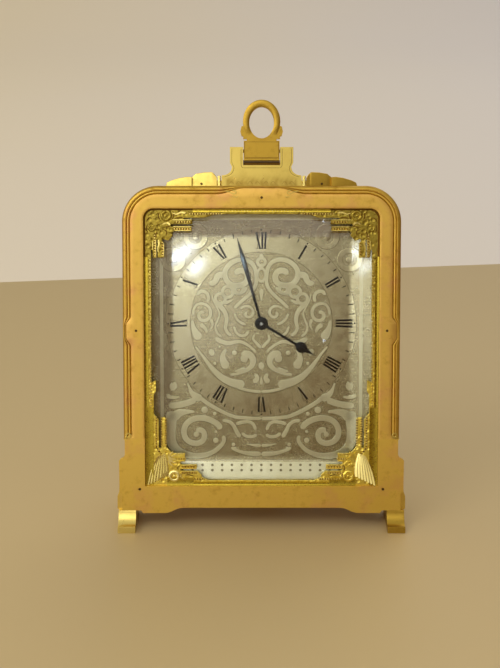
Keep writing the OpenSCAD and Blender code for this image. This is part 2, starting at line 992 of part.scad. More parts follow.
// Saw-toothed wheel that the click holds after winding
module ratchet_wheel() {
  tip_angle = 48;
  points = [
    for (i = [0 : ratchet_n - 1])
      for (p = [polar(4.2, tip_angle + 1.2 + 15 * i), polar(5.0, tip_angle + 1.2 + 15 * i)])
        p
  ];
  color("lightsteelblue")
    stance()
      at(barrel_at)
        slab(back_plate_y + 1.1, back_plate_y + 1.7)
          difference() {
            polygon(points);
            bore(1.5);
          }
}

module click() {
  tip = barrel_at + polar(4.45, 48) - click_at;
  color("lightsteelblue")
    stance()
      at(click_at)
        slab(back_plate_y + 1.1, back_plate_y + 1.7)
          difference() {
            union() {
              circle(r = 1.3, $fn = 12);
              polygon([tip, [0, -0.9], [0, 0.9]]);
            }
            circle(r = 0.75, $fn = 12);
          }
}

module click_screw() {
  color("midnightblue")
    stance()
      at(click_at) {
        rod(0.6, back_plate_y + 0.2, back_plate_y + 1.1);
        rod(0.6, back_plate_y + 1, back_plate_y + 1.75);
        rod(1.2, back_plate_y + 1.75, back_plate_y + 2.2);
      }
}

// Bent wire spring that presses the click home
module click_spring() {
  color("slategray")
    stance()
      at(click_at + [0.6, 6.4])
        slab(back_plate_y + 1.05, back_plate_y + 1.6) {
          circle(r = 1.0, $fn = 24);
          polygon([[-0.4, 0], [-2.9, -5.2], [-2.7, -5.3], [0, -0.4]]);
        }
}

module centre_wheel() {
  color("khaki")
    stance()
      at([0, 0]) {
        wheel(centre_n, centre_m, 2.4, 5, back_plate_y - 0.85, back_plate_y - 0.35, 150, 1.1);
        pinion(centre_pinion_n, great_m, front_plate_y + 1.15, front_plate_y + 2.45, -15 + 180 / centre_pinion_n, 1.1);
      }
}

module centre_arbor() {
  color("lightsteelblue")
    stance()
      at([0, 0])
        slab(front_plate_y + 0.1, back_plate_y + train_plate_t - 0.1)
          difference() {
            circle(r = 1.1, $fn = 48);
            circle(r = 0.6 + run_fit, $fn = 48);
          }
}

module third_wheel() {
  color("khaki")
    stance()
      at(third_at) {
        wheel(third_n, third_m, 1.6, 4, front_plate_y + 2.9, front_plate_y + 3.4, -120, 0.45);
        pinion(third_pinion_n, centre_m, back_plate_y - 1.05, back_plate_y - 0.2, 330 + 180 / third_pinion_n, 0.45);
        arbor(0.45, 0.25);
      }
}

module fourth_wheel() {
  color("khaki")
    stance()
      at(fourth_at) {
        wheel(fourth_n, fourth_m, 1.4, 4, front_plate_y + 1.6, front_plate_y + 2.1, -70, 0.38);
        pinion(fourth_pinion_n, third_m, front_plate_y + 2.7, front_plate_y + 3.6, 60 + 180 / fourth_pinion_n, 0.38);
        arbor(0.38, 0.25);
      }
}

module escape_wheel() {
  points = [
    for (i = [0 : escape_n - 1])
      for (p = [polar(2.5, 24 * i + 4), polar(3.6, 24 * i + 11), polar(3.6, 24 * i + 12.5), polar(2.5, 24 * i + 14)])
        p
  ];
  color("khaki")
    stance()
      at(escape_at) {
        slab(front_plate_y + 3, front_plate_y + 3.4)
          difference() {
            polygon(points);
            bore(0.33);
          }
        pinion(escape_pinion_n, fourth_m, front_plate_y + 1.45, front_plate_y + 2.25, 110 + 180 / escape_pinion_n, 0.33);
        arbor(0.33, 0.25);
      }
}

// Lever with two pallets over the escape wheel and a fork for the balance
module pallet_lever() {
  color("lightsteelblue")
    stance()
      at(pallet_at) {
        slab(front_plate_y + 3, front_plate_y + 3.4)
          difference() {
            union() {
              circle(r = 0.9, $fn = 12);
              rotate(-10)
                box2(0, 5.0, -0.3, 0.3);
              rotate(-10)
                box2(3.9, 5.2, -0.65, 0.65);
              for (s = [-1, 1])
                rotate(140 + s * 62)
                  box2(0, 2.4, -0.3, 0.3);
            }
            bore(0.33);
            rotate(-10)
              box2(4.4, 6, -0.2, 0.2);
          }
        arbor(0.33, 0.25);
      }
}

module balance_wheel() {
  color("gold")
    stance()
      at(balance_at)
        slab(back_plate_y + 1.5, back_plate_y + 2)
          difference() {
            circle(r = 8, $fn = 96);
            difference() {
              circle(r = 7.1, $fn = 96);
              circle(r = 1.5, $fn = 48);
              box2(-8, 8, -0.5, 0.5);
            }
            circle(r = 0.5, $fn = 48);
          }
}

// Staff with its roller and impulse pin
module balance_staff() {
  color("lightsteelblue")
    stance()
      at(balance_at) {
        rod(0.5, front_plate_y + 1.1, back_plate_y + 2.9);
        rod(0.25, front_plate_y + 0.2, front_plate_y + 1.2);
        rod(0.25, back_plate_y + 2.8, back_plate_y + 3.5);
        rod(1.2, front_plate_y + 3.8, back_plate_y - 1.5);
        rotate([0, 10, 0])
          translate([0.9, 0, 0])
            rod(0.15, front_plate_y + 3.1, back_plate_y - 1.7);
      }
}

module hairspring() {
  color("slategray")
    stance()
      at(balance_at)
        slab(back_plate_y + 2.4, back_plate_y + 2.65)
          polygon(coil(0.75, 3.6, 5, 0.12, 150));
}

// Cock that carries the rear pivot of the balance
module balance_cock() {
  color("gold")
    stance()
      at(balance_at)
        difference() {
          union() {
            slab(back_plate_y + 3, back_plate_y + 3.7) {
              circle(r = 2.2, $fn = 48);
              box2(-1.8, 1.8, -13.4, 0);
            }
            slab(back_plate_y + 1, back_plate_y + 3.7)
              box2(-2.6, 2.6, -13.6, -9.0);
            translate([3.6, 0, 0])
              slab(back_plate_y + 2.35, back_plate_y + 3.2)
                box2(-0.3, 0.3, 0.3, 0.9);
            slab(back_plate_y + 3, back_plate_y + 3.7)
              box2(-0.5, 3.9, 0, 0.9);
          }
          rod(0.25 + run_fit, back_plate_y + 2.4, cover_y + 0.2);
          translate([0, 0, -11.2])
            rod(0.8, back_plate_y + 0.4, cover_y + 0.2);
        }
}

module back_cover() {
  color("goldenrod")
    stance()
      difference() {
        slab(cover_y, cover_back)
          arched(band_x, band_bottom, band_top, 4);
        at(barrel_at)
          rod(2.4, cover_y - 1, cover_back + 1);
        at([0, 0])
          rod(1.8, cover_y - 1, cover_back + 1);
        for (p = cover_screw_spots)
          spot(p)
            rod(1.0, cover_y - 1, cover_back + 1);
        at(barrel_at + [0, -7])
          rod(0.9, cover_y - 1, cover_back + 1);
        for (p = bracket_spots)
          spot(p)
            rod(0.75, cover_y - 1, cover_back + 1);
      }
}

// Screws of the cover, of the strut bracket and of the shutter
module back_screws() {
  color("midnightblue")
    stance() {
      for (p = cover_screw_spots)
        spot(p)
          back_screw(0.95, 1.9, cover_y - 3.8, cover_back, 0.7);
      for (p = bracket_spots)
        spot(p)
          back_screw(0.7, 1.3, cover_y, cover_back + 1, 0.5);
      at(barrel_at + [0, -7])
        back_screw(0.9 - press_fit, 1.6, cover_y + 0.2, cover_back + 0.65, 0.55);
    }
}

module strut_bracket() {
  color("goldenrod")
    stance()
      difference() {
        union() {
          slab(cover_back, cover_back + 1)
            box2(-bracket_half[0], bracket_half[0], hinge_z - bracket_half[1], hinge_z + bracket_half[1]);
          for (s = [-1, 1])
            translate([s * 5.6 - 1.0, 0, 0]) {
              translate([0, hinge_y, hinge_z])
                rotate([0, 90, 0])
                  cylinder(r = 2.1, h = 2, $fn = 48);
              translate([0, cover_back, hinge_z - 2.1])
                cube([2, 2.5, 4.2]);
            }
        }
        translate([-20, hinge_y, hinge_z])
          rotate([0, 90, 0])
            cylinder(r = 0.75, h = 40, $fn = 48);
        for (p = bracket_spots)
          spot(p)
            rod(0.75, cover_back - 1, cover_back + 2);
      }
}

// Strut drawn folded flat, then opened about its pin and cut level with the floor
module strut() {
  knuckle = 4.5;
  slot_top = -10;
  slot_end = -25;
  color("goldenrod")
    difference() {
      rotate([-lean, 0, 0])
        translate([0, hinge_y, hinge_z])
          rotate([strut_open, 0, 0])
            difference() {
              union() {
                slab(0, strut_t)
                  difference() {
                    both_sides()
                      polygon([
                        [0, 2.9], [knuckle, 2.9], [knuckle, -4.2], [8, -6], [8, -9],
                        [5.2, -strut_len * 0.75], [4.6, -strut_len + 9], [6.5, -strut_len + 4],
                        [6.5, -strut_len - 2], [0, -strut_len - 2]
                      ]);
                    box2(-3, 3, slot_end, slot_top);
                    translate([0, slot_end])
                      circle(r = 3, $fn = 48);
                    translate([0, slot_top])
                      circle(r = 3, $fn = 48);
                  }
                translate([-knuckle, 0, 0])
                  rotate([0, 90, 0])
                    cylinder(r = 1.4, h = 2 * knuckle, $fn = 48);
              }
              translate([-20, 0, 0])
                rotate([0, 90, 0])
                  cylinder(r = 0.7 + run_fit, h = 40, $fn = 48);
            }
      translate([-30, 0, -20])
        cube([60, 120, 20]);
    }
}

module strut_pin() {
  color("dimgray")
    stance()
      translate([-7.2, hinge_y, hinge_z])
        rotate([0, 90, 0])
          cylinder(r = 0.7, h = 14.4, $fn = 48);
}

// Swinging dust cover over the winding hole
module shutter() {
  color("gold")
    stance()
      at(barrel_at)
        slab(cover_back + 0.1, cover_back + 0.6)
          difference() {
            union() {
              circle(r = 3.3, $fn = 48);
              box2(-1.6, 1.6, -7, 0);
              translate([0, -7])
                circle(r = 2.2, $fn = 48);
            }
            translate([0, -7])
              circle(r = 0.9 + run_fit, $fn = 48);
          }
}

front_frame();
frame_pins();
profile_plate();
crest_plate();
crest_wing_left();
crest_wing_right();
crest_posts();
crest_pins();
crest_rail();
crest_rail_screws();
bow();
bow_pin();
mask();
glass();
glass_keeper();
case_band();
foot_left();
foot_right();
foot_screws();
dial_plate();
dial_studs();
dial_nuts();
dial_feet();
hour_hand();
minute_hand();
hand_collet();
set_arbor();
cannon_pinion();
hour_wheel();
minute_wheel();
minute_wheel_stud();
front_plate();
back_plate();
pillars();
pillar_screws();
barrel();
great_wheel();
barrel_cover();
mainspring();
barrel_arbor();
ratchet_wheel();
click();
click_screw();
click_spring();
centre_wheel();
centre_arbor();
third_wheel();
fourth_wheel();
escape_wheel();
pallet_lever();
balance_wheel();
balance_staff();
hairspring();
balance_cock();
back_cover();
back_screws();
strut_bracket();
strut();
strut_pin();
shutter();
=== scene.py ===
import json
import logging
import math
from dataclasses import dataclass, field
from enum import Enum

import bmesh
import bpy
import numpy as np
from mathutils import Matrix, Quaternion, Vector


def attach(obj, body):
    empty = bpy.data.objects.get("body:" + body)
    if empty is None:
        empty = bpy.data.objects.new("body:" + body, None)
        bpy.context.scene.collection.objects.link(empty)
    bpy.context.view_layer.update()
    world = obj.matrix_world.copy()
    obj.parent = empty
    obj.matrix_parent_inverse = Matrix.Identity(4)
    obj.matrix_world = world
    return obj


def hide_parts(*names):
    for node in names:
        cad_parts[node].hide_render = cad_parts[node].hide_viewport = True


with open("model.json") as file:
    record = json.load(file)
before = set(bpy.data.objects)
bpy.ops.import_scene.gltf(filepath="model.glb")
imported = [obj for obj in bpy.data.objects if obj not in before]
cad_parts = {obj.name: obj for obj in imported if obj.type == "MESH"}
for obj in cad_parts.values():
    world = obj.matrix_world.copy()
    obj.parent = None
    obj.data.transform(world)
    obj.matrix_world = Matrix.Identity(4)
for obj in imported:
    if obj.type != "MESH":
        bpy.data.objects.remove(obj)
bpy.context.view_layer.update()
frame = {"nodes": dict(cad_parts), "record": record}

logging.basicConfig(level=logging.INFO, format="%(message)s")
LOG = logging.getLogger("strut_clock")

Array = np.ndarray
Faces = list[list[int]]
Pair = tuple[float, float]
Path = list[Pair] | Array
Tree = bpy.types.NodeTree
Socket = bpy.types.NodeSocket

MM_PER_M = 1000.0

# The clock leans back by this much. Its pieces are drawn in millimetres in its own upright
# directions: right, depth behind the frame's front face, and height along the clock.
LEAN = math.radians(18.0)
# Dial centre, the frame's upper edge, and the sight: half width and upper edge
DIAL_Z = 72.3
DIAL_Y = 8.3
FRAME_TOP = 120.6
SIGHT_HALF = 41.1
SIGHT_TOP = 112.7


# Numbers and outlines


def stand(points: Array) -> Array:
    """Leans clock points back and turns them to metres: a rotation about the x axis by the lean.

    Args:
        points: millimetres, last axis (right, depth, height along the clock).

    Returns:
        Metres in the shared frame, same shape.
    """
    points = np.asarray(points, float)
    x, y, z = points[..., 0], points[..., 1], points[..., 2]
    c, s = math.cos(LEAN), math.sin(LEAN)
    return np.stack([x, y * c + z * s, z * c - y * s], axis=-1) / MM_PER_M


def smoothstep(t: Array) -> Array:
    """The S-curve 3t^2 - 2t^3, held at its ends."""
    t = np.clip(t, 0.0, 1.0)
    return t * t * (3.0 - 2.0 * t)


def turned(points: Path, mirror: bool) -> Array:
    """The points, or their mirror image across the middle line."""
    return np.array(points, float) * np.array([-1.0 if mirror else 1.0, 1.0])


def box(x0: float, z0: float, x1: float, z1: float) -> Array:
    """The corners of a rectangle."""
    return np.array([[x0, z0], [x1, z0], [x1, z1], [x0, z1]])


def bearings(angle: Array | float) -> Array:
    """The directions at angles in radians, anticlockwise from the right: their cosine and sine."""
    return np.stack([np.cos(angle), np.sin(angle)], axis=-1)


def spun(points: Array, angle: float) -> Array:
    """Turns (across, out) points clockwise about the centre, by radians from twelve."""
    s, c = math.sin(angle), math.cos(angle)
    return points[..., :1] * np.array([c, -s]) + points[..., 1:] * np.array([s, c])


def lay(flat: Array, depth: Array | float) -> Array:
    """Gives (right, up) points a depth, which makes them (right, depth, up) points."""
    depth = np.broadcast_to(depth, flat.shape[:-1])
    return np.stack([flat[..., 0], depth, flat[..., 1]], axis=-1)


def through(points: Path, step: float) -> Array:
    """A smooth path through given points: a Catmull-Rom curve, resampled to even steps.

    Args:
        points: (n, 2) control points in millimetres.
        step: distance between samples in millimetres.

    Returns:
        (m, 2) path points.
    """
    p = np.asarray(points, float)
    p = np.concatenate([[2 * p[0] - p[1]], p, [2 * p[-1] - p[-2]]])
    t = np.linspace(0.0, 1.0, 14, endpoint=False)[None, :, None]
    a, b, c, d = (p[k : len(p) - 3 + k][:, None, :] for k in range(4))
    bend, twist = 2 * a - 5 * b + 4 * c - d, 3 * b - a - 3 * c + d
    curve = 0.5 * (2 * b + (c - a) * t + bend * t**2 + twist * t**3)
    curve = np.concatenate([curve.reshape(-1, 2), p[-2:-1]])
    along = lengths(curve)
    even = np.linspace(0.0, along[-1], max(4, int(along[-1] / step) + 1))
    return np.stack([np.interp(even, along, curve[:, k]) for k in (0, 1)], axis=1)


def lengths(path: Array) -> Array:
    """The distance along a path at each of its points."""
    return np.concatenate([[0.0], np.cumsum(np.hypot(*np.diff(path, axis=0).T))])


# Finishes


def linear(colour: str) -> tuple[float, float, float, float]:
    """Turns an sRGB hex colour to linear values by the sRGB curve.

    Args:
        colour: "#rrggbb".

    Returns:
        Red, green, blue and an alpha of 1.
    """
    srgb = np.array([int(colour[i : i + 2], 16) for i in (1, 3, 5)]) / 255.0
    lin = np.where(srgb <= 0.04045, srgb / 12.92, ((srgb + 0.055) / 1.055) ** 2.4)
    return (float(lin[0]), float(lin[1]), float(lin[2]), 1.0)


def add(tree: Tree, kind: str, inputs: dict | None = None, **settings: object) -> bpy.types.Node:
    """Adds one shader node.

    Args:
        tree: the node tree.
        kind: the node's type, without the ShaderNode that all of them start with.
        inputs: by socket name or number. An output socket, or a node, which stands for its
            first output in use, is linked, and anything else is set.
        settings: the node's own settings.

    Returns:
        The new node.
    """
    node = tree.nodes.new("ShaderNode" + kind)
    for key, value in settings.items():
        setattr(node, key, value)
    for key, value in (inputs or {}).items():
        if isinstance(value, bpy.types.Node):
            value = next(socket for socket in value.outputs if socket.enabled)
        if isinstance(value, Socket):
            tree.links.new(value, node.inputs[key])
        else:
            node.inputs[key].default_value = value
    return node


def new_material(name: str) -> tuple[bpy.types.Material, Tree, Socket]:
    """Makes an empty node material.

    Args:
        name: what the surface is.

    Returns:
        The material, its tree and its Object coordinates.
    """
    material = bpy.data.materials.new(name)
    material.use_nodes = True
    tree = material.node_tree
    tree.nodes.clear()
    return material, tree, add(tree, "TexCoord").outputs["Object"]


@dataclass(frozen=True)
class Metal:
    """A polished or gilt metal: a body colour with worn and tarnished patches, fine brushing and,
    where wanted, a punched grain. Points marked with film carry old lacquer and dirt, and in some
    places painted shade: in the frame's grooves, along its sight and between a leaf's flutes.
    Points marked as rubbed take the worn colour: on the gilding the copper-pink of the alloy
    beneath, and on the minute hand a painted highlight. A painted shade also thickens the film
    between two heights, given in metres above the floor.
    """

    name: str
    colour: str
    worn: str
    film_and_shade: str
    roughness: float
    patch_mm: float = 9.0
    worn_share: float = 0.35
    film_share: float = 0.3
    # Lines of a real brush lie well under 0.1 mm apart, too fine for the render, so that brush
    # lines and grain are drawn coarser
    grain_mm: float = 0.25
    grain_bump: float = 0.05
    brush_axis: int = 0
    brush_bump: float = 0.03
    rough_spread: float = 0.12
    # A painted shade that thickens the film between two heights above the floor
    dark_from: float = 0.0
    dark_to: float = 1.0
    dark_share: float = 0.0
    # Blots of film over worn patches, and the length of a brushed line over its width
    blot_share: float = 0.31
    brush_length: float = 28.0
    relief_m: float = 0.0002

    def build(self) -> bpy.types.Material:
        """Makes the material.

        Returns:
            A material on Object coordinates, with one Principled shader.
        """
        material, tree, place = new_material(self.name)
        patchy = {"Vector": place, "Scale": MM_PER_M / self.patch_mm, "Detail": 5.0}
        patches = add(tree, "TexNoise", patchy | {"Roughness": 0.62})
        blotchy = {"Vector": place, "Scale": MM_PER_M / (self.patch_mm * self.blot_share)}
        blots = add(tree, "TexNoise", blotchy | {"Detail": 4.0, "Roughness": 0.7})
        stretch = [MM_PER_M / self.grain_mm] * 3
        stretch[self.brush_axis] = MM_PER_M / (self.grain_mm * self.brush_length)
        turn = {"Vector": place, "Rotation": (-LEAN, 0.0, 0.0), "Scale": tuple(stretch)}
        lines = {"Vector": add(tree, "Mapping", turn), "Scale": 1.0, "Detail": 2.0}
        brush = add(tree, "TexNoise", lines)
        fine = {"Vector": place, "Scale": MM_PER_M / self.grain_mm, "Detail": 2.0}
        grain = add(tree, "TexNoise", fine)
        span = {"Value": patches, "From Min": 0.5, "From Max": 0.72, "To Max": self.worn_share}
        worn = add(tree, "MapRange", span, interpolation_type="SMOOTHSTEP")
        rubbed_and_sheen = add(tree, "Attribute", attribute_name="rubbed_and_sheen").outputs["Fac"]
        worn = add(tree, "Math", {0: worn, 1: rubbed_and_sheen}, operation="ADD", use_clamp=True)
        span = {"Value": blots, "From Min": 0.5, "From Max": 0.78, "To Max": self.film_share}
        film_and_shade = add(tree, "MapRange", span, interpolation_type="SMOOTHSTEP")
        marked = add(tree, "Attribute", attribute_name="film_and_shade").outputs["Fac"]
        # Painted shade laid into the film by height
        span = {"Value": add(tree, "SeparateXYZ", {0: place}).outputs["Z"]}
        span |= {"From Min": self.dark_from, "From Max": self.dark_to, "To Max": self.dark_share}
        painted_shade_by_height = add(tree, "MapRange", span, interpolation_type="SMOOTHSTEP")
        for more in (marked, painted_shade_by_height):
            film_and_shade = add(tree, "Math", {0: film_and_shade, 1: more}, operation="ADD", use_clamp=True)
        tones = {0: worn, 6: linear(self.colour), 7: linear(self.worn)}
        bright = add(tree, "Mix", tones, data_type="RGBA")
        body = add(tree, "Mix", {0: film_and_shade, 6: bright, 7: linear(self.film_and_shade)}, data_type="RGBA")
        half = self.rough_spread / 2
        span = {"Value": blots, "From Min": 0.3, "From Max": 0.7}
        span |= {"To Min": self.roughness - half, "To Max": self.roughness + half}
        rough = add(tree, "MapRange", span)
        bump = {"Height": brush, "Strength": self.brush_bump, "Distance": self.relief_m}
        brushed = add(tree, "Bump", bump)
        bump = {"Height": grain, "Strength": self.grain_bump, "Distance": self.relief_m}
        relief = add(tree, "Bump", bump | {"Normal": brushed})
        look = {"Base Color": body, "Metallic": 1.0, "Roughness": rough, "Normal": relief}
        add(tree, "OutputMaterial", {"Surface": add(tree, "BsdfPrincipled", look)})
        return material


@dataclass(frozen=True)
class PunchedMetal(Metal):
    """A gilt metal whose ground is punched and matted with small round tools."""

    # Real matting punches are about half a millimetre wide, and a finish may draw them coarser,
    # so that they show in the render
    punch_mm: float = 0.6
    punch_bump: float = 0.5

    def build(self) -> bpy.types.Material:
        """Makes the metal and lays rows of round punch marks on it.

        Returns:
            The material of the plain metal with the punch marks added to its bump.
        """
        material = super().build()
        tree = material.node_tree
        shader = next(n for n in tree.nodes if n.type == "BSDF_PRINCIPLED")
        below = shader.inputs["Normal"].links[0].from_socket
        place = next(n for n in tree.nodes if n.type == "TEX_COORD").outputs["Object"]
        rows = {"Vector": place, "Scale": MM_PER_M / self.punch_mm, "Randomness": 0.8}
        span = {"Value": add(tree, "TexVoronoi", rows), "From Min": 0.1, "From Max": 0.55}
        dents = add(tree, "MapRange", span, interpolation_type="SMOOTHSTEP")
        bump = {"Height": dents, "Strength": self.punch_bump, "Distance": 0.0003, "Normal": below}
        tree.links.new(add(tree, "Bump", bump).outputs[0], shader.inputs["Normal"])
        return material


@dataclass(frozen=True)
class Glass:
    """Thick polished clock glass, cast flat and ground to a bevel. Lamps shine through it."""

    name: str
    colour: str = "#FBFDF8"
    smear_mm: float = 14.0

    def build(self) -> bpy.types.Material:
        """Makes clear glass that casts no shadow.

        Returns:
            A Principled glass that lets lamp rays through.
        """
        material, tree, place = new_material(self.name)
        smears = {"Vector": place, "Scale": MM_PER_M / self.smear_mm, "Detail": 3.0}
        span = {"Value": add(tree, "TexNoise", smears), "From Min": 0.45, "From Max": 0.75}
        rough = add(tree, "MapRange", span | {"To Min": 0.0, "To Max": 0.035})
        clear = {"Base Color": linear(self.colour), "Roughness": rough}
        glass = add(tree, "BsdfPrincipled", clear | {"IOR": 1.5, "Transmission Weight": 1.0})
        hole = add(tree, "BsdfTransparent", {"Color": (0.96, 0.97, 0.95, 1.0)})
        lamp = add(tree, "LightPath").outputs["Is Shadow Ray"]
        both = add(tree, "MixShader", {0: lamp, 1: glass, 2: hole})
        add(tree, "OutputMaterial", {"Surface": both})
        return material


@dataclass(frozen=True)
class Wax:
    """Black engraver's wax that fills the cut numerals: faintly uneven and slightly glossy."""

    name: str
    colour: str
    pale: str
    roughness: float
    patch_mm: float = 0.9

    def build(self) -> bpy.types.Material:
        """Makes a dark filler with a slight variation of tone.

        Returns:
            The material.
        """
        material, tree, place = new_material(self.name)
        patchy = {"Vector": place, "Scale": MM_PER_M / self.patch_mm, "Detail": 3.0}
        uneven = add(tree, "TexNoise", patchy)
        tones = {0: uneven, 6: linear(self.colour), 7: linear(self.pale)}
        tone = add(tree, "Mix", tones, data_type="RGBA")
        relief = add(tree, "Bump", {"Height": uneven, "Strength": 0.1, "Distance": 0.0001})
        look = {"Base Color": tone, "Roughness": self.roughness, "Specular IOR Level": 0.1}
        shader = add(tree, "BsdfPrincipled", look | {"Normal": relief})
        add(tree, "OutputMaterial", {"Surface": shader})
        return material


class Finish(Enum):
    """The finishes of the clock. Each value is how the real surface was made."""

    # Fire-gilt cast brass, finely brushed and worn: a satin gold with copper-pink rubbed flats
    FRAME = Metal(
        "gilt_brass_worn", "#DEBB56", "#D8A264", "#9E741A", 0.48, patch_mm=11, worn_share=0.6,
        film_share=0.4, grain_mm=0.3, brush_axis=2, brush_bump=0.04,
        # Painted shade: the film thickens towards the bottom of the frame
        dark_from=0.04, dark_to=0.006, dark_share=0.15,
    )
    # The same gilding where fingers don't reach: greener, brighter yellow
    PLATE = Metal(
        "gilt_brass_plate", "#DDBC58", "#D2A658", "#8E6A20", 0.38, patch_mm=24, worn_share=0.4,
        film_share=0.22, grain_bump=0.06,
    )
    # Gilt cresting: pale, bright and smooth, with a little brown lacquer in its hollows
    CREST = Metal(
        "gilt_brass_bright", "#D4BC62", "#C6A44A", "#8E6E26", 0.33, worn_share=0.5,
        film_share=0.16, grain_mm=0.22, grain_bump=0.08,
    )
    # Bow and its hinge block: handled, darker and duller. On the right wing and the right foot this
    # darker copy of the gilding is painted shade.
    BOW = Metal(
        "gilt_brass_handled_and_shaded", "#B8963A", "#AA8634", "#6A4E18", 0.38, patch_mm=6, worn_share=0.5,
        grain_mm=0.2, grain_bump=0.1,
    )
    # Old lacquer and dirt in cut lines. Behind the hinge, in the mask's recesses and along the
    # mask's border, the same dark brown is painted shade.
    LINE = Metal(
        "brown_lacquer_and_painted_shade", "#6B4D1E", "#7A5C28", "#3A2810", 0.5, patch_mm=2, worn_share=0.5,
        film_share=0.4, grain_bump=0.1,
    )
    # Pierced mask, punched and engraved all over so that it sparkles
    MASK = PunchedMetal(
        "gilt_brass_punched", "#E8D05C", "#C89C34", "#54400A", 0.36, patch_mm=1.9, worn_share=0.5,
        film_share=0.45, grain_mm=0.55, grain_bump=0.16, punch_mm=1.6, punch_bump=0.4,
        # Painted shade: the film thickens towards the top of the mask, under the frame's upper edge
        dark_from=0.035, dark_to=0.105, dark_share=0.6,
    )
    # Edges and beads of the mask, burnished
    BEAD = Metal(
        "gilt_brass_burnished", "#F2DE82", "#E6C668", "#9A7A2A", 0.26, patch_mm=2, worn_share=0.4,
        film_share=0.2, grain_mm=0.3,
    )
    # The mask's plain rim, smooth and hollow, under old greenish lacquer
    RIM = Metal(
        "gilt_brass_lacquered", "#C6AE3E", "#AE9434", "#6A5A14", 0.28, patch_mm=5, worn_share=0.5,
        film_share=0.22, grain_mm=0.4, grain_bump=0.06,
    )
    # A nearly white copy of the gilding, a painted highlight: the right lower leaf and bead rows,
    # and the left lower bosses and fans
    LEAF = Metal(
        "gilt_brass_painted_highlight", "#F5E494", "#E8CE70", "#9A7C2A", 0.34, patch_mm=1.2, worn_share=0.5,
        grain_mm=0.3, grain_bump=0.1,
    )
    # A lighter copy of the gilding on the left foot: a painted highlight
    FOOT = Metal(
        "gilt_brass_feet", "#E6CE74", "#D8BC5C", "#9A7A2C", 0.32, patch_mm=8, worn_share=0.4,
        film_share=0.14, grain_mm=0.22, grain_bump=0.08,
    )
    # Silvered brass, rubbed with silver salts and lacquered: a satin white, slightly yellowed
    RING = Metal(
        "silvered_satin", "#D4CCAC", "#C8BD92", "#A59566", 0.21, patch_mm=16, worn_share=0.5,
        film_share=0.25, grain_mm=0.2, grain_bump=0.03, brush_bump=0.015,
    )
    # The same silvering on the raised scrolls, frosted with a scratch brush
    RIBBON = Metal(
        "silvered_scrolls", "#DAD5B8", "#D0C8A4", "#AFA57C", 0.34, patch_mm=12, worn_share=0.4,
        film_share=0.2, grain_mm=0.16, grain_bump=0.08, brush_bump=0.02,
    )
    # Its ground, hatched with fine level lines
    GROUND = Metal(
        "silvered_hatched", "#BFB696", "#B0A57C", "#8C8058", 0.25, patch_mm=12, worn_share=0.4,
        grain_mm=0.3, grain_bump=0.03, brush_bump=0.16,
    )
    # Edges that the graver cut, dull and dark
    CUT = Metal(
        "silvered_cut_edge", "#7A7050", "#6D623E", "#4B4022", 0.5, patch_mm=6, grain_bump=0.1,
    )
    # Near black in the cut numerals and marks, matt beside the silvering
    WAX = Wax("numeral_wax", "#050403", "#0E0B07", 0.7)
    # Steel heated to blue-black and polished. Its pale blue worn colour, laid where the minute hand
    # is marked rubbed, is a painted highlight.
    BLUED = Metal(
        "blued_steel", "#1A1D22", "#8298AE", "#0F1013", 0.24, patch_mm=3, worn_share=0.08,
        grain_mm=0.12,
    )
    # Iron pins, browned with age
    PIN = Metal("dark_steel", "#5B4426", "#7A6034", "#2B1E0E", 0.45, patch_mm=1.2, film_share=0.6)
    # Brass that the case keeps clean: brushed along, warm and bright under its lacquer
    MOVEMENT = Metal(
        "lacquered_brass", "#D8B55C", "#C99E4A", "#86652A", 0.3, patch_mm=5, worn_share=0.4,
        grain_mm=0.12, brush_bump=0.06,
    )
    # Cool grey steel with a clean polish
    STEEL = Metal(
        "polished_steel", "#B9BBBD", "#A5A39E", "#6E6A62", 0.24, patch_mm=3, grain_mm=0.1,
        brush_bump=0.05,
    )
    # Steel drawn to a spring temper: a darker grey with brownish film
    SPRING = Metal(
        "tempered_spring_steel", "#7D7F86", "#6A6257", "#413A34", 0.32, patch_mm=3,
        film_share=0.4, grain_mm=0.1,
    )
    # Nearly colourless, with faint smears that only show in a highlight
    GLASS = Glass("clock_glass")


MATERIALS: dict[Finish, bpy.types.Material] = {}


def finish_of(finish: Finish) -> bpy.types.Material:
    """Makes a finish's material the first time it is asked for.

    Args:
        finish: the finish.

    Returns:
        Its material.
    """
    if finish not in MATERIALS:
        MATERIALS[finish] = finish.value.build()
    return MATERIALS[finish]


# The finishes of each record slot. A plain CAD node in the slot gets the first one.
SLOT_FINISHES: dict[str, tuple[Finish, ...]] = {
    "frame_gilt": (Finish.FRAME,),
    "plate_gilt": (Finish.PLATE,),
    "crest_gilt": (Finish.CREST, Finish.FOOT, Finish.BOW, Finish.LINE),
    "mask_gilt": (Finish.MASK, Finish.BEAD, Finish.RIM, Finish.LEAF),
    "pin_steel": (Finish.PIN,),
    "glass": (Finish.GLASS,),
    "silvered_dial": (Finish.GROUND, Finish.RING, Finish.RIBBON, Finish.CUT),
    "blued_steel": (Finish.BLUED, Finish.WAX),
    "movement_brass": (Finish.MOVEMENT,),
    "bright_steel": (Finish.STEEL,),
    "spring_steel": (Finish.SPRING,),
}


# Mesh helpers


def quads(rows: int, cols: int, loop_rows: bool = False, loop_cols: bool = False) -> Array:
    """Quads of a grid of points stored row by row.

    Args:
        rows: points along the first direction.
        cols: points along the second.
        loop_rows: joins the last row to the first.
        loop_cols: joins the last column to the first.

    Returns:
        An (n, 4) array of point numbers.
    """
    r = np.arange(rows if loop_rows else rows - 1)
    c = np.arange(cols if loop_cols else cols - 1)
    i, j = (a.ravel() for a in np.meshgrid(r, c, indexing="ij"))
    i2, j2 = (i + 1) % rows, (j + 1) % cols
    return np.stack([i * cols + j, i2 * cols + j, i2 * cols + j2, i * cols + j2], axis=1)


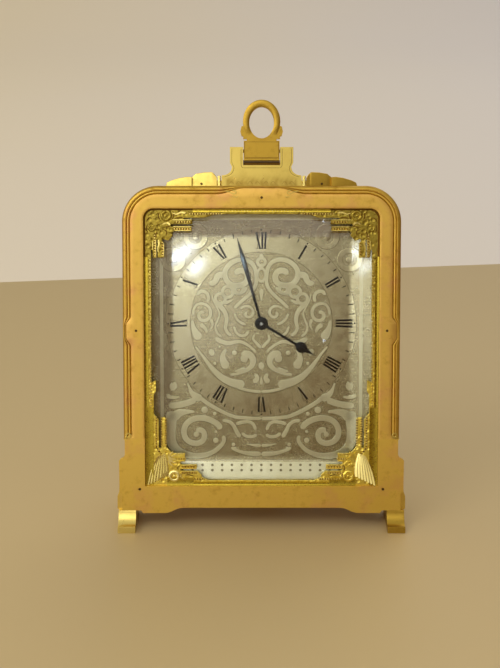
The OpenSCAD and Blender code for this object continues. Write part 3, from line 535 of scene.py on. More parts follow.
@dataclass
class Shell:
    """Collects closed solids of one piece, in clock millimetres."""

    points: list[Array] = field(default_factory=list)
    faces: Faces = field(default_factory=list)
    marks: list[Array] = field(default_factory=list)
    count: int = 0

    def add(self, points: Array, faces: Faces | Array, marks: Array | None = None) -> None:
        """Adds one solid.

        Args:
            points: (n, 3) clock millimetres.
            faces: lists of point numbers of this solid.
            marks: (n, 2) of film and rubbed at each point, or None for zeros. The film carries old
                lacquer and in places painted shade; the rubbed mark carries wear and, on the minute
                hand, a painted highlight.
        """
        faces = faces.tolist() if isinstance(faces, np.ndarray) else faces
        self.faces += [[k + self.count for k in face] for face in faces]
        self.points.append(points)
        self.marks.append(np.zeros((len(points), 2)) if marks is None else marks)
        self.count += len(points)

    def loft(self, grid: Array, marks: Array | None = None) -> None:
        """Adds a solid that joins closed sections in a row and is capped at both ends.

        Args:
            grid: (n, m, 3) points of n sections.
            marks: (n m, 2) of film and rubbed at each point, or None for zeros, as in add.
        """
        n, m = grid.shape[:2]
        caps = [list(range(m)), list(range((n - 1) * m, n * m))]
        self.add(grid.reshape(-1, 3), quads(n, m, loop_cols=True).tolist() + caps, marks)

    def sheet(self, top: Array, low: Array, film_and_shade: Array) -> None:
        """Adds a thin solid between two grids of the same shape.

        Args:
            top: (rows, cols, 3) points of the front.
            low: the same for the back.
            film_and_shade: (rows, cols) of old lacquer and painted shade.
        """
        rows, cols = top.shape[:2]
        n, face = rows * cols, quads(rows, cols)
        ends = [np.arange(cols), cols * np.arange(1, rows) + cols - 1]
        ends += [n - 1 - np.arange(1, cols), cols * np.arange(rows - 2, 0, -1)]
        edge = np.concatenate(ends)
        around = np.stack([edge, np.roll(edge, -1), np.roll(edge, -1) + n, edge + n], axis=1)
        faces = np.concatenate([face, face[:, ::-1] + n, around[:, ::-1]])
        marks = np.tile(np.stack([film_and_shade.ravel(), 0 * film_and_shade.ravel()], axis=1), (2, 1))
        self.add(np.concatenate([top.reshape(-1, 3), low.reshape(-1, 3)]), faces, marks)

    def piece(
        self, name: str, finish: Finish, body: str = "case", replaces: tuple[str, ...] = (),
        sharp: float = 35.0,
    ) -> None:
        """Makes the collected solids one piece that rides on a body.

        Args:
            name: the piece's name.
            finish: its finish.
            body: the body it rides on.
            replaces: CAD nodes that it stands for.
            sharp: edges steeper than this many degrees stay sharp.
        """
        mesh = bpy.data.meshes.new(name)
        mesh.from_pydata(stand(np.concatenate(self.points)), [], self.faces)
        marks = np.concatenate(self.marks).astype(np.float32)
        for column, label in enumerate(("film_and_shade", "rubbed_and_sheen")):
            if marks[:, column].any():
                layer = mesh.attributes.new(label, "FLOAT", "POINT")
                layer.data.foreach_set("value", np.ascontiguousarray(marks[:, column]))
        shape = bmesh.new()
        shape.from_mesh(mesh)
        bmesh.ops.recalc_face_normals(shape, faces=shape.faces)
        shape.to_mesh(mesh)
        shape.free()
        settle(mesh, name, finish, body, replaces, sharp)


def settle(
    mesh: bpy.types.Mesh, name: str, finish: Finish, body: str, replaces: tuple[str, ...],
    sharp: float,
) -> bpy.types.Object:
    """Gives a mesh its object, finish and body, and reports it.

    Args:
        mesh: the finished mesh, in metres.
        name: the piece's name.
        finish: its finish.
        body: the body it rides on.
        replaces: CAD nodes that it stands for.
        sharp: edges steeper than this many degrees stay sharp.

    Returns:
        The object.
    """
    obj = bpy.data.objects.new(name, mesh)
    bpy.context.scene.collection.objects.link(obj)
    mesh.materials.clear()
    mesh.materials.append(finish_of(finish))
    mesh.shade_smooth()
    mesh.set_sharp_from_angle(angle=math.radians(sharp))
    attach(obj, body)
    if replaces:
        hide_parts(*replaces)
    LOG.info("piece %s: %d faces on %s", name, len(mesh.polygons), body)
    return obj


def body_of(node: str) -> str:
    """The body that a CAD node belongs to."""
    bodies = frame["record"]["behaviour"]["bodies"]
    return next(body for body, members in bodies.items() if node in members)


def trimmed(shape: bmesh.types.BMesh, height: float) -> None:
    """Drops what lies above a height along the clock, and caps the cut.

    Args:
        shape: the solid, which is changed.
        height: millimetres along the clock.
    """
    at = Vector(stand(np.array([0.0, 0.0, height])).tolist())
    up = Vector((0.0, math.sin(LEAN), math.cos(LEAN)))
    geometry = [*shape.verts, *shape.edges, *shape.faces]
    cut = bmesh.ops.bisect_plane(
        shape, geom=geometry, dist=1e-7, plane_co=at, plane_no=up, clear_outer=True
    )
    rim = [e for e in cut["geom_cut"] if isinstance(e, bmesh.types.BMEdge)]
    bmesh.ops.holes_fill(shape, edges=rim, sides=0)


def eased(
    node: str, width: float, finish: Finish, segments: int = 2, trim: float | None = None
) -> bpy.types.Object:
    """Copies a CAD node's solid, merges its loose triangles, and rounds its sharp edges.

    Args:
        node: the CAD node, which the copy replaces.
        width: the rounding in millimetres.
        finish: the copy's finish.
        segments: faces across a rounded edge.
        trim: if given, what lies above this height along the clock is dropped.

    Returns:
        The new piece, named for the node, with a live Bevel.
    """
    mesh = frame["nodes"][node].data.copy()
    shape = bmesh.new()
    shape.from_mesh(mesh)
    bmesh.ops.remove_doubles(shape, verts=shape.verts, dist=2e-6)
    if trim is not None:
        trimmed(shape, trim)
    flat = math.radians(0.6)
    bmesh.ops.dissolve_limit(shape, angle_limit=flat, verts=shape.verts, edges=shape.edges)
    bmesh.ops.recalc_face_normals(shape, faces=shape.faces)
    shape.to_mesh(mesh)
    shape.free()
    obj = settle(mesh, node + "_eased", finish, body_of(node), (node,), 30.0)
    bevel = obj.modifiers.new("eased_edges", "BEVEL")
    bevel.width = width / MM_PER_M
    bevel.segments = segments
    bevel.limit_method = "ANGLE"
    bevel.angle_limit = math.radians(32)
    bevel.harden_normals = True
    return obj


@dataclass(frozen=True)
class Relief:
    """Low raised work on a flat ground that faces the viewer. The ground lies at a depth, and
    its points are measured from a height along the clock.
    """

    ground_y: float
    origin_z: float
    height: float = 0.05
    sink: float = 0.03
    step: float = 0.45

    def ribbon(
        self, shell: Shell, points: Path, width: float, head: float = 1.0, tail: float = 1.0,
        grow: float = 0.0,
    ) -> None:
        """Carries a flat profile with chamfered edges along a path. Its half width runs from
        head to tail times the given one and closes in a half circle at both ends.

        Args:
            shell: takes the solid.
            points: control points in millimetres from the relief's origin.
            width: full width.
            head: share of the width at the start.
            tail: share of the width at the end.
            grow: extra width on each side, for a dark outline that lies under the ribbon.
        """
        path = through(points, self.step)
        tangent = np.gradient(path, axis=0)
        tangent /= np.linalg.norm(tangent, axis=1, keepdims=True) + 1e-12
        normal = np.stack([-tangent[:, 1], tangent[:, 0]], axis=1)
        along = lengths(path)
        share = head + (tail - head) * smoothstep(along / along[-1])
        half = 0.5 * width * share + grow
        ends = np.minimum(along, along[-1] - along) / np.maximum(half, 1e-6)
        half = half * np.sqrt(1 - (1 - np.clip(ends, 0.02, 1.0)) ** 2)
        lip = np.minimum(0.07, 0.3 * half)
        offset = np.stack([-half, -half, lip - half, half - lip, half, half], axis=1)
        low, mid, high = -self.sink, 0.25 * self.height, self.height
        flat = path[:, None, :] + normal[:, None, :] * offset[:, :, None]
        depth = self.ground_y - np.array([low, mid, high, high, mid, low])
        shell.loft(lay(flat + [0.0, self.origin_z], depth))

    def ring(
        self, shell: Shell, centre: Pair, profile: list[Pair], sides: int = 16,
        squash: float = 1.0,
    ) -> None:
        """Turns a profile of (radius, rise) pairs about a centre. A profile that starts at no
        radius is closed by a flat cap, and otherwise its ends are joined.

        Args:
            shell: takes the solid.
            centre: millimetres from the relief's origin.
            profile: (radius, rise) pairs from the inside out.
            sides: points round the centre.
            squash: width over height, for an oval.
        """
        pairs = np.array(profile, float)
        dome = pairs[0, 0] == 0
        pairs = pairs[1:] if dome else pairs
        angle = np.arange(sides) * 2 * np.pi / sides
        x = centre[0] + squash * np.outer(pairs[:, 0], np.cos(angle))
        z = self.origin_z + centre[1] + np.outer(pairs[:, 0], np.sin(angle))
        y = np.broadcast_to(self.ground_y - pairs[:, 1:2], x.shape)
        grid = np.stack([x, y, z], axis=-1)
        if dome:
            shell.loft(grid)
        else:
            shell.add(grid.reshape(-1, 3), quads(len(pairs), sides, True, True))

    def boss(
        self, shell: Shell, centre: Pair, radius: float, sides: int = 12, grow: float = 0.0
    ) -> None:
        """A low rounded dot: four rings that follow a quarter ellipse, closed flat on top.

        Args:
            shell: takes the solid.
            centre: millimetres from the relief's origin.
            radius: its radius.
            sides: points round it.
            grow: extra radius, for a dark outline that lies under the dot.
        """
        r, h = radius + grow, self.height
        dome = [(0, h), (0.35 * r, h), (0.75 * r, 0.8 * h), (r, 0.25 * h), (r, -self.sink)]
        self.ring(shell, centre, dome, sides)

    def band(
        self, shell: Shell, centre: Pair, inner: float, outer: float, sides: int = 192,
        squash: float = 1.0,
    ) -> None:
        """A flat ring with slightly rounded edges.

        Args:
            shell: takes the solid.
            centre: millimetres from the relief's origin.
            inner: radius of its hole.
            outer: its radius.
            sides: points round it.
            squash: width over height, for an oval.
        """
        e, h = min(0.08, (outer - inner) / 4), self.height
        edge = ((0.0, -self.sink), (0.0, 0.6 * h), (e, h), (1.3 * e, h))
        rows = [(inner + d, y) for d, y in edge] + [(outer - d, y) for d, y in edge[::-1]]
        self.ring(shell, centre, rows, sides, squash)

    def prism(self, shell: Shell, outline: Array) -> None:
        """A thin slab with a given outline.

        Args:
            shell: takes the solid.
            outline: (n, 2) millimetres from the relief's origin.
        """
        n = len(outline)
        flat = outline + [0.0, self.origin_z]
        front, back = self.ground_y - self.height, self.ground_y + self.sink
        faces = [list(range(n)), list(range(2 * n - 1, n - 1, -1))]
        faces += [[k, (k + 1) % n, n + (k + 1) % n, n + k] for k in range(n)]
        shell.add(np.concatenate([lay(flat, front), lay(flat, back)]), faces)


# The case


@dataclass
class FrontFrame:
    """The gilt front frame: a reeded edge that sweeps in to plain rests at the sides and top,
    and a plain lower part with shaped ears.
    """

    half: float = 48.65
    corner: float = 12.6
    sight_corner: float = 3.5
    thick: float = 2.4
    step_y: float = 1.6
    rebate: float = 1.2
    stop_z: float = 32.0
    rest_z: float = 70.0
    # Places and radius of the pins' heads
    pins: tuple[Pair, ...] = ((-43.9, 70.2), (43.9, 70.2), (0.0, 116.5))
    pin_r: float = 0.55

    @staticmethod
    def outline(x: float, rise: Array, arc: Array, flat: Array, top: float) -> Array:
        """Joins a side at x, a corner and the left half of a top edge to one path."""
        crown = np.stack([flat, np.full_like(flat, top)], axis=1)
        return np.concatenate([np.stack([np.full_like(rise, x), rise], axis=1), arc, crown])

    def stations(self) -> tuple[Array, Array, Array, Array]:
        """The path round the frame, from the left stop over the top to the right stop. The sight
        points match the outer ones: where the sight's corner is tighter they move along the
        edge by an S-curve. The reeds narrow by S-curves towards the rests, and by a quarter
        circle at the stops.

        Returns:
            Outer points, inward directions, matching sight points, and the reeds' width share.
        """
        turn = FRAME_TOP - self.corner
        # Heights up a side: from, to, points. They are close where the reeds sweep in and out.
        spans = ((self.stop_z, 34.4, 9), (36, 62, 5), (64.4, 76, 30), (78, turn, 6))
        rise = np.concatenate([np.linspace(*span) for span in spans])
        bend = np.radians(np.linspace(180, 90, 23)[1:])
        spoke = np.stack([np.cos(bend), np.sin(bend)], axis=1)
        run = np.linspace(self.half - self.corner, 18, 5)[1:]
        flat = -np.concatenate([run, np.linspace(17, 0, 28)])
        mid = np.array([self.corner - self.half, turn])
        sight_mid = np.array([self.sight_corner - SIGHT_HALF, SIGHT_TOP - self.sight_corner])
        shift = sight_mid - mid
        outer = self.outline(-self.half, rise, mid + self.corner * spoke, flat, FRAME_TOP)
        up = rise + shift[1] * smoothstep((rise - 90) / (turn - 90))
        along = flat + shift[0] * smoothstep((-flat - 16) / 20)
        arc = sight_mid + self.sight_corner * spoke
        inner = self.outline(-SIGHT_HALF, up, arc, along, SIGHT_TOP)
        right, down = np.tile([1.0, 0.0], (len(rise), 1)), np.tile([0.0, -1.0], (len(flat), 1))
        inward = np.concatenate([right, -spoke, down])
        x, z = np.abs(outer[:, 0]), outer[:, 1]
        side = 0.45 + 0.55 * smoothstep((np.abs(z - self.rest_z) - 2.3) / 2.9)
        crest = np.where(z > FRAME_TOP - 0.01, 0.3 + 0.7 * smoothstep((x - 6.0) / 9.5), 1.0)
        u = np.clip((z - self.stop_z) / 2.2, 0, 1)
        share = side * crest * (0.22 + 0.78 * np.sqrt(1 - (1 - u) ** 2))
        flip = np.array([-1.0, 1.0])
        both = [np.concatenate([a, (a * flip)[::-1][1:]]) for a in (outer, inward, inner)]
        return both[0], both[1], both[2], np.concatenate([share, share[::-1][1:]])

    def profile(self) -> Array:
        """The reeds from the outer edge inwards: a quarter-round, a fillet, a groove, a bead, a
        deep groove and the edge of the flat. The film darkens the quarter-round towards its outer
        edge, and in the grooves it is painted shade.

        Returns:
            (n, 4) rows of distance from the edge, depth, film (painted shade in the grooves) and
            rubbed.
        """
        a, b = np.radians(np.linspace(0, 90, 9)), np.radians(np.linspace(12, 168, 9))
        film_and_shade = np.linspace(0.9, 0.25, 9)
        ovolo = np.stack([1.2 * (1 - np.cos(a)), 1.7 - 1.45 * np.sin(a), film_and_shade, 0 * a], axis=1)
        bead = np.stack([2.22 - 0.4 * np.cos(b), 0.5 - 0.4 * np.sin(b), 0 * b, 0 * b], axis=1)
        # Dark film in the groove between fillet and bead: painted shade
        fillet = [
            (1.24, 0.34, 0.25, 0.0), (1.28, 0.22, 0.0, 0.0), (1.34, 0.13, 0.0, 0.0),
            (1.5, 0.15, 0.0, 0.0), (1.57, 0.3, 0.1, 0.0), (1.63, 0.5, 0.5, 0.0),
            (1.7, 0.53, 0.6, 0.0), (1.78, 0.48, 0.3, 0.0),
        ]
        # The deep groove's dark film is painted shade
        groove = [
            (2.68, 0.5, 0.3, 0.0), (2.74, 0.62, 0.6, 0.0), (2.84, 0.62, 0.6, 0.0),
            (2.9, 0.4, 0.2, 0.0), (2.94, 0.15, 0.0, 0.0), (3.02, 0.04, 0.0, 0.3),
            (3.2, 0.0, 0.0, 0.4),
        ]
        return np.concatenate([ovolo, fillet, bead, groove])

    def build_reeded(self) -> None:
        """Carries the profile round the frame. Across it, each point is the outer point moved
        inwards by the profile's distance times the reeds' width share, and shallower where they
        are narrow. Past the reeds, points run straight to the sight edge, down it, and round
        the back.
        """
        outer, inward, inner, share = self.stations()
        rows = self.profile()
        reach = outer[:, None, :] + inward[:, None, :] * (share[:, None] * rows[:, 0])[:, :, None]
        shallow = 0.35 + 0.65 * np.clip(share * 1.35, 0.0, 1.0)[:, None]
        depth = np.where(rows[:, 0] > 0.5, rows[:, 1] * shallow, rows[:, 1])
        out = (inner - outer) / np.linalg.norm(inner - outer, axis=1, keepdims=True)
        rebated = inner - out * self.rebate
        # Path, depth, film and rubbed of each line that runs round the plain part. The film on the
        # sight's inner wall and its rebate is painted shade.
        back = (outer, self.thick, 0.5, 0.0)
        plain = [
            (outer + inward * 4.3, 0.0, 0.0, 0.2),
            ((outer + inner) / 2 + inward * 2.0, 0.0, 0.0, 0.08),
            (inner - out * 0.9, 0.0, 0.0, 0.2),
            (inner - out * 0.35, 0.0, 0.0, 0.35),
            (inner - out * 0.1, 0.05, 0.0, 0.0),
            (inner, 0.2, 0.0, 0.0),
            (inner, 1.2, 0.5, 0.0),
            (inner, self.step_y, 0.8, 0.0),
            (rebated, self.step_y, 0.5, 0.0),
            (rebated, self.thick, 0.5, 0.0),
        ]
        lines = [lay(path, y)[:, None, :] for path, y, _, _ in (back, *plain)]
        grid = np.concatenate([lines[0], lay(reach, depth), *lines[1:]], axis=1)
        marks = np.concatenate([[back[2:]], rows[:, 2:], [line[2:] for line in plain]])
        shell = Shell()
        shell.loft(grid, np.tile(marks, (len(grid), 1)))
        shell.piece("front_frame_reeded", Finish.FRAME, replaces=("front_frame",), sharp=40.0)

    def build(self) -> None:
        """Makes the upper and lower parts of the frame, its small curls and the pins' heads."""
        self.build_reeded()
        lower = eased("front_frame", width=0.22, finish=Finish.FRAME, segments=3, trim=self.stop_z)
        lower.name = "front_frame_apron"
        curls, heads = Shell(), Shell()
        leaf = Relief(0.03, 0.0, height=0.16, sink=0.1, step=0.25)
        crook = [(13.0, 118.8), (11.2, 118.4), (9.6, 117.7)]
        crook += [(8.9, 118.2), (9.3, 118.9), (10.1, 118.8)]
        hook = [(10.2, 117.2), (9.0, 116.6), (8.2, 117.0)]
        tail = [(45.5, 34.4), (45.7, 33.0), (46.5, 32.1), (47.6, 32.0), (48.2, 32.5)]
        for s in (-1, 1):
            leaf.ribbon(curls, turned(crook, s < 0), width=0.55, head=0.5, tail=0.9)
            leaf.ribbon(curls, turned(hook, s < 0), width=0.5, head=0.5, tail=0.8)
            leaf.band(curls, (s * 46.9, 33.2), inner=0.4, outer=0.95, sides=20)
            leaf.ribbon(curls, turned(tail, s < 0), width=0.4, head=0.6, tail=0.8)
        curls.piece("frame_curls", Finish.CREST, sharp=12.0)
        for spot in self.pins:
            Relief(0.03, 0.0, height=0.05, sink=0.15).boss(heads, spot, radius=self.pin_r, sides=20)
        heads.piece("frame_pin_heads", Finish.PIN, sharp=30.0)


# Straight bead rows along the mask's pierced slots and bars, right half
MASK_ROWS = (
    ((37.15, 28.6), (37.15, 39.6)), ((35.3, 29.4), (35.3, 39.2)), ((33.75, 29.6), (33.75, 38.8)),
    ((37.15, 28.6), (35.2, 25.8)), ((23.4, 21.7), (28.4, 21.7)), ((23.2, 19.5), (28.4, 19.5)),
    ((27.0, 24.6), (32.2, 24.6)), ((20.4, 17.4), (27.6, 17.4)), ((25.0, 108.1), (29.6, 108.1)),
    ((24.9, 105.7), (30.4, 105.7)), ((34.6, 96.3), (34.6, 101.0)), ((37.3, 96.3), (37.3, 103.5)),
    ((14.0, 110.9), (25.0, 110.9)),
)
# Single leaves between them
MASK_LEAVES = (
    ((39.6, 110.6), (38.4, 111.2), (36.8, 110.9), (36.4, 109.6), (37.4, 109.0)),
    ((31.2, 111.3), (29.6, 110.8), (28.2, 111.4), (26.4, 111.2)),
    ((38.9, 103.2), (38.2, 101.6), (38.9, 100.2), (38.5, 98.6)),
    ((34.6, 107.2), (33.0, 107.9), (31.8, 107.0)),
    ((29.6, 24.4), (31.0, 25.0), (32.4, 25.6), (33.6, 27.2)),
    ((27.4, 17.6), (28.6, 18.0), (28.4, 19.4)),
    ((32.4, 21.0), (31.6, 21.8), (30.4, 21.6), (29.8, 20.6)),
    ((36.0, 97.4), (36.2, 99.0), (35.8, 100.6), (36.1, 102.0)),
)
# Painted shade: dark lines in the hollows between the leaves
MASK_RECESSES = (
    ((35.6, 111.4), (36.0, 110.2), (35.4, 108.8)), ((31.0, 112.0), (30.6, 110.2), (31.4, 108.8)),
    ((34.6, 105.6), (33.2, 104.9), (33.2, 103.4)), ((39.8, 107.2), (40.2, 105.6), (39.6, 104.4)),
    ((36.2, 104.9), (36.9, 103.9), (36.6, 102.6)), ((27.4, 109.6), (29.2, 109.6), (30.4, 109.2)),
    ((31.7, 106.6), (32.9, 106.5), (34.0, 106.2)), ((38.9, 109.6), (39.8, 109.0), (40.1, 108.0)),
    ((32.9, 16.8), (32.6, 18.4), (32.0, 19.8)), ((29.0, 22.3), (29.6, 21.4), (29.4, 20.4)),
    ((31.7, 24.2), (32.9, 24.0), (33.8, 23.2)), ((24.0, 18.4), (25.6, 18.9), (27.0, 18.7)),
)
# Burnished edges of the bars and slots
MASK_EDGES = (
    ((24.35, 108.85), (31.2, 108.85)), ((24.3, 106.45), (31.0, 106.45)),
    ((24.4, 105.15), (30.3, 105.15)), ((34.15, 96.0), (34.15, 100.8)),
    ((36.9, 96.0), (36.9, 102.0)), ((38.0, 98.4), (38.0, 101.6)), ((27.2, 23.75), (29.3, 23.75)),
    ((27.2, 26.4), (30.6, 26.4)), ((23.1, 22.25), (28.4, 22.25)), ((23.1, 21.1), (28.4, 21.1)),
    ((22.9, 20.0), (28.6, 20.0)), ((27.1, 23.9), (27.1, 26.3)),
)


@dataclass
class Mask:
    """The pierced mask: its plate, beaded borders and bars, corner bosses and leaf ribs."""

    face_y: float = 1.6
    bead_pitch: float = 1.05
    bead_r: float = 0.46
    fine_pitch: float = 0.86
    fine_r: float = 0.36
    # Radius and depth of a bead's three rings, as shares of its radius
    bead_rings: tuple[Pair, ...] = ((1.0, 0.12), (0.92, -0.28), (0.55, -0.72))
    # Across the hollow rim: share of its width, and height above the plate
    rim_section: tuple[Pair, ...] = ((0.0, 0.3), (0.25, 0.22), (0.5, 0.2), (0.75, 0.22), (1.0, 0.3))
    # Place and radius of the ringed bosses
    bosses: tuple[tuple[float, float, float], ...] = (
        (33.2, 110.3, 1.45), (30.9, 18.4, 1.5), (38.3, 106.0, 0.95), (30.6, 23.0, 0.7),
    )
    # Leaf in the lower right corner: both ends of its root, both ends of its lower edge
    leaf_corners: tuple[Pair, ...] = ((34.2, 26.6), (36.9, 25.6), (32.9, 19.0), (40.4, 15.4))
    leaf_flutes: int = 7
    leaf_climb: float = 0.75
    leaf_slope: float = 0.36
    # The left leaf is rubbed down to this share of the right one's relief
    worn_leaf: float = 0.25

    def beads(self, shell: Shell, path: Path, pitch: float, radius: float) -> None:
        """Sets half-round beads at an even pitch along a straight line. Each is three rings of
        eight points that narrow as they rise, and a flat cap.

        Args:
            shell: takes the beads.
            path: both ends of the line.
            pitch: millimetres from bead to bead.
            radius: a bead's radius.
        """
        start, end = np.array(path, float)
        track = np.linspace(start, end, max(2, int(np.hypot(*(end - start)) / pitch) + 1))
        angle = np.arange(8) * np.pi / 4
        rings = [lay(r * bearings(angle), y) for r, y in self.bead_rings]
        bead = np.stack(rings).reshape(-1, 3) * radius
        faces = quads(3, 8, loop_cols=True).tolist()
        faces += [list(range(16, 24)), list(range(7, -1, -1))]
        for centre in lay(track, self.face_y):
            shell.add(centre + bead, faces)

    def leaf(self, shell: Shell, side: int) -> None:
        """A fluted leaf in a lower corner, swept between its root and its lower edge, two
        straight lines. Each flute rises to the outside by its width times a slope and falls
        back sharply: h = 0.08 + climb s + slope width (7t mod 1), for s along and t across.

        Args:
            shell: takes the leaf.
            side: -1 for the left corner, 1 for the right one.
        """
        n = self.leaf_flutes
        s = np.linspace(0.0, 1.0, 9)[:, None]
        flute = np.tile([0.0, 0.45, 0.9, 0.98], n)[None]
        t = (np.repeat(np.arange(n), 4)[None] + flute) / n
        (x0, z0), (x1, z1), (x2, z2), (x3, z3) = self.leaf_corners
        bulge = 0.9 * np.sin(np.pi * s) * (t - 0.5)
        x = (1 - s) * (x0 + (x1 - x0) * t) + s * (x2 + (x3 - x2) * t) + bulge
        z = (1 - s) * (z0 + (z1 - z0) * t) + s * (z2 + (z3 - z2) * t)
        z = z - 0.5 * s**2 * np.sin(np.pi * np.minimum(flute, 1.0))
        root, edge = math.hypot(x1 - x0, z1 - z0), math.hypot(x3 - x2, z3 - z2)
        width = ((1 - s) * root + s * edge) / n
        relief = 1.0 if side > 0 else self.worn_leaf
        rise = self.leaf_slope * width * np.where(flute > 0.95, 0.0, flute)
        flat = np.stack([side * x, z], axis=-1)
        top = lay(flat, self.face_y - (0.08 + relief * (self.leaf_climb * s + rise)))
        # Painted shade: dark lines where each flute falls back, fainter on the worn left leaf
        film_and_shade = np.where((flute > 0.95) | (flute < 0.01), 0.75 * relief, 0.0)
        shell.sheet(top, lay(flat, self.face_y + 0.1), np.tile(film_and_shade, (9, 1)))

    def strip(self, shell: Shell, start: Pair, end: Pair, width: Pair) -> None:
        """Sweeps the rim's section from one point to another.

        Args:
            shell: takes the solid.
            start: outer edge at the start, in millimetres right and up.
            end: outer edge at the end.
            width: the way across, in millimetres.
        """
        across, hollow = np.array(self.rim_section).T
        flat = np.array([start, end])[:, None, :] + across[None, :, None] * np.array(width)
        low = lay(flat[:, ::-1], self.face_y + 0.1)
        shell.loft(np.concatenate([lay(flat, self.face_y - hollow), low], axis=1))

    def rim(self) -> None:
        """A smooth hollow strip next to the frame: at each side and along the top and bottom a
        row of five points across, lowest in the middle, swept along the edge.
        """
        shell = Shell()
        for s in (-1, 1):
            self.strip(shell, (s * 41.05, 15.2), (s * 41.05, 43.0), (-s * 2.9, 0.0))
            self.strip(shell, (s * 41.05, 43.0), (s * 41.05, 96.0), (-s * 1.3, 0.0))
            self.strip(shell, (s * 33.4, 15.1), (s * 24.0, 15.1), (0.0, 2.9))
        self.strip(shell, (-24.0, 15.1), (24.0, 15.1), (0.0, 1.4))
        self.strip(shell, (-24.0, 112.6), (24.0, 112.6), (0.0, -1.1))
        shell.piece("mask_rim", Finish.RIM, sharp=60.0)

    def painted_shadow_line(self) -> None:
        """A painted shadow line of dark brown along the rim's inner edge, where the frame's edge
        shades the mask, and one along the bottom.
        """
        shell = Shell()
        a = np.radians(np.linspace(180, 90, 7))
        corner = [(-37.55 + 3.3 * math.cos(t), 109.15 + 3.3 * math.sin(t)) for t in a]
        side = [(-40.85, z) for z in np.linspace(15.4, 106.0, 12)]
        crown = [(x, 112.45) for x in np.linspace(-34.0, 34.0, 9)]
        path = side + corner + crown + [(-x, z) for x, z in corner[::-1] + side[::-1]]
        Relief(self.face_y, 0.0, height=0.02, sink=0.05, step=0.8).ribbon(shell, path, width=0.55)
        foot = [(-32.6, 15.3), (0.0, 15.3), (32.6, 15.3)]
        Relief(self.face_y, 0.0, height=0.02, sink=0.05, step=2.0).ribbon(shell, foot, width=0.3)
        shell.piece("mask_painted_shadow_line", Finish.LINE, sharp=12.0)

    def ringed_boss(self, ribs: Relief, shell: Shell, centre: Pair, r: float) -> None:
        """A round boss inside a half-round ring.

        Args:
            ribs: the relief that it belongs to.
            shell: takes both solids.
            centre: millimetres right and up.
            r: radius of the ring's middle line.
        """
        half_turn = np.radians(np.linspace(0, 180, 7))
        arc = [(r - 0.42 * r * math.cos(t), 0.3 * math.sin(t)) for t in half_turn]
        section = [(0.55 * r - 0.05, -0.05), *arc, (1.42 * r + 0.05, -0.05)]
        ribs.ring(shell, centre, section, sides=20)
        ribs.boss(shell, centre, radius=0.34 * r, sides=10)

    def build(self) -> None:
        """Makes the mask's plate, rim, beads, leaves and engraved ribs."""
        self.rim()
        eased("mask", width=0.16, finish=Finish.MASK)
        beading, carving, leaves, recess = Shell(), Shell(), Shell(), Shell()
        ribs = Relief(self.face_y, 0.0, height=0.3, sink=0.05, step=0.5)
        hollow = Relief(self.face_y, 0.0, height=0.015, sink=0.03, step=0.5)
        for s in (-1, 1):
            left = s < 0
            side = [(s * 39.0, 43.5), (s * 39.0, 95.0)]
            self.beads(beading, side, self.bead_pitch, self.bead_r)
            for row in MASK_ROWS:
                # Painted shade: a dark line under each bead row
                hollow.ribbon(recess, turned(row, left), width=0.6, head=0.9, tail=0.9)
                # The right lower bead rows take the painted highlight finish
                shell = leaves if s > 0 and row[0][1] < 45 else beading
                self.beads(shell, turned(row, left), self.fine_pitch, self.fine_r)
            # The right leaf takes the painted highlight finish, the left one the bead finish
            self.leaf(beading if left else leaves, s)
            # The left lower bosses and fans take the painted highlight finish
            bright = leaves if left else carving
            for path in MASK_RECESSES:
                hollow.ribbon(recess, turned(path, left), width=0.62, head=0.6, tail=0.6)
            for x, z, r in self.bosses:
                self.ringed_boss(ribs, bright if z < 20 else carving, (s * x, z), r)
            for fan in (-40, -15, 10, 35, 60):
                high = ((37.2, 107.6), 215 + fan, 4.4, carving)
                for base, turn, reach, shell in (high, ((33.6, 24.6), 190 - fan, 4.0, bright)):
                    tip = np.array([math.cos(math.radians(turn)), math.sin(math.radians(turn))])
                    rib = [base + tip * r for r in (0.7, 0.5 * reach, reach)]
                    ribs.ribbon(shell, turned(rib, left), width=0.85, head=1.0, tail=0.4)
            for k, path in enumerate(MASK_LEAVES):
                metal = beading if k % 2 else carving
                ribs.ribbon(metal, turned(path, left), width=0.8, head=0.5, tail=1.0)
            for path in MASK_EDGES:
                ribs.ribbon(beading, turned(path, left), width=0.34, head=0.9, tail=0.9)
        self.beads(beading, [(-14.5, 111.9), (14.5, 111.9)], self.bead_pitch, 0.34)
        beading.piece("mask_beading", Finish.BEAD, sharp=50.0)
        carving.piece("mask_carving", Finish.MASK, sharp=50.0)
        leaves.piece("mask_leaves", Finish.LEAF, sharp=20.0)
        recess.piece("mask_painted_recess_shade", Finish.LINE, sharp=12.0)
        self.painted_shadow_line()


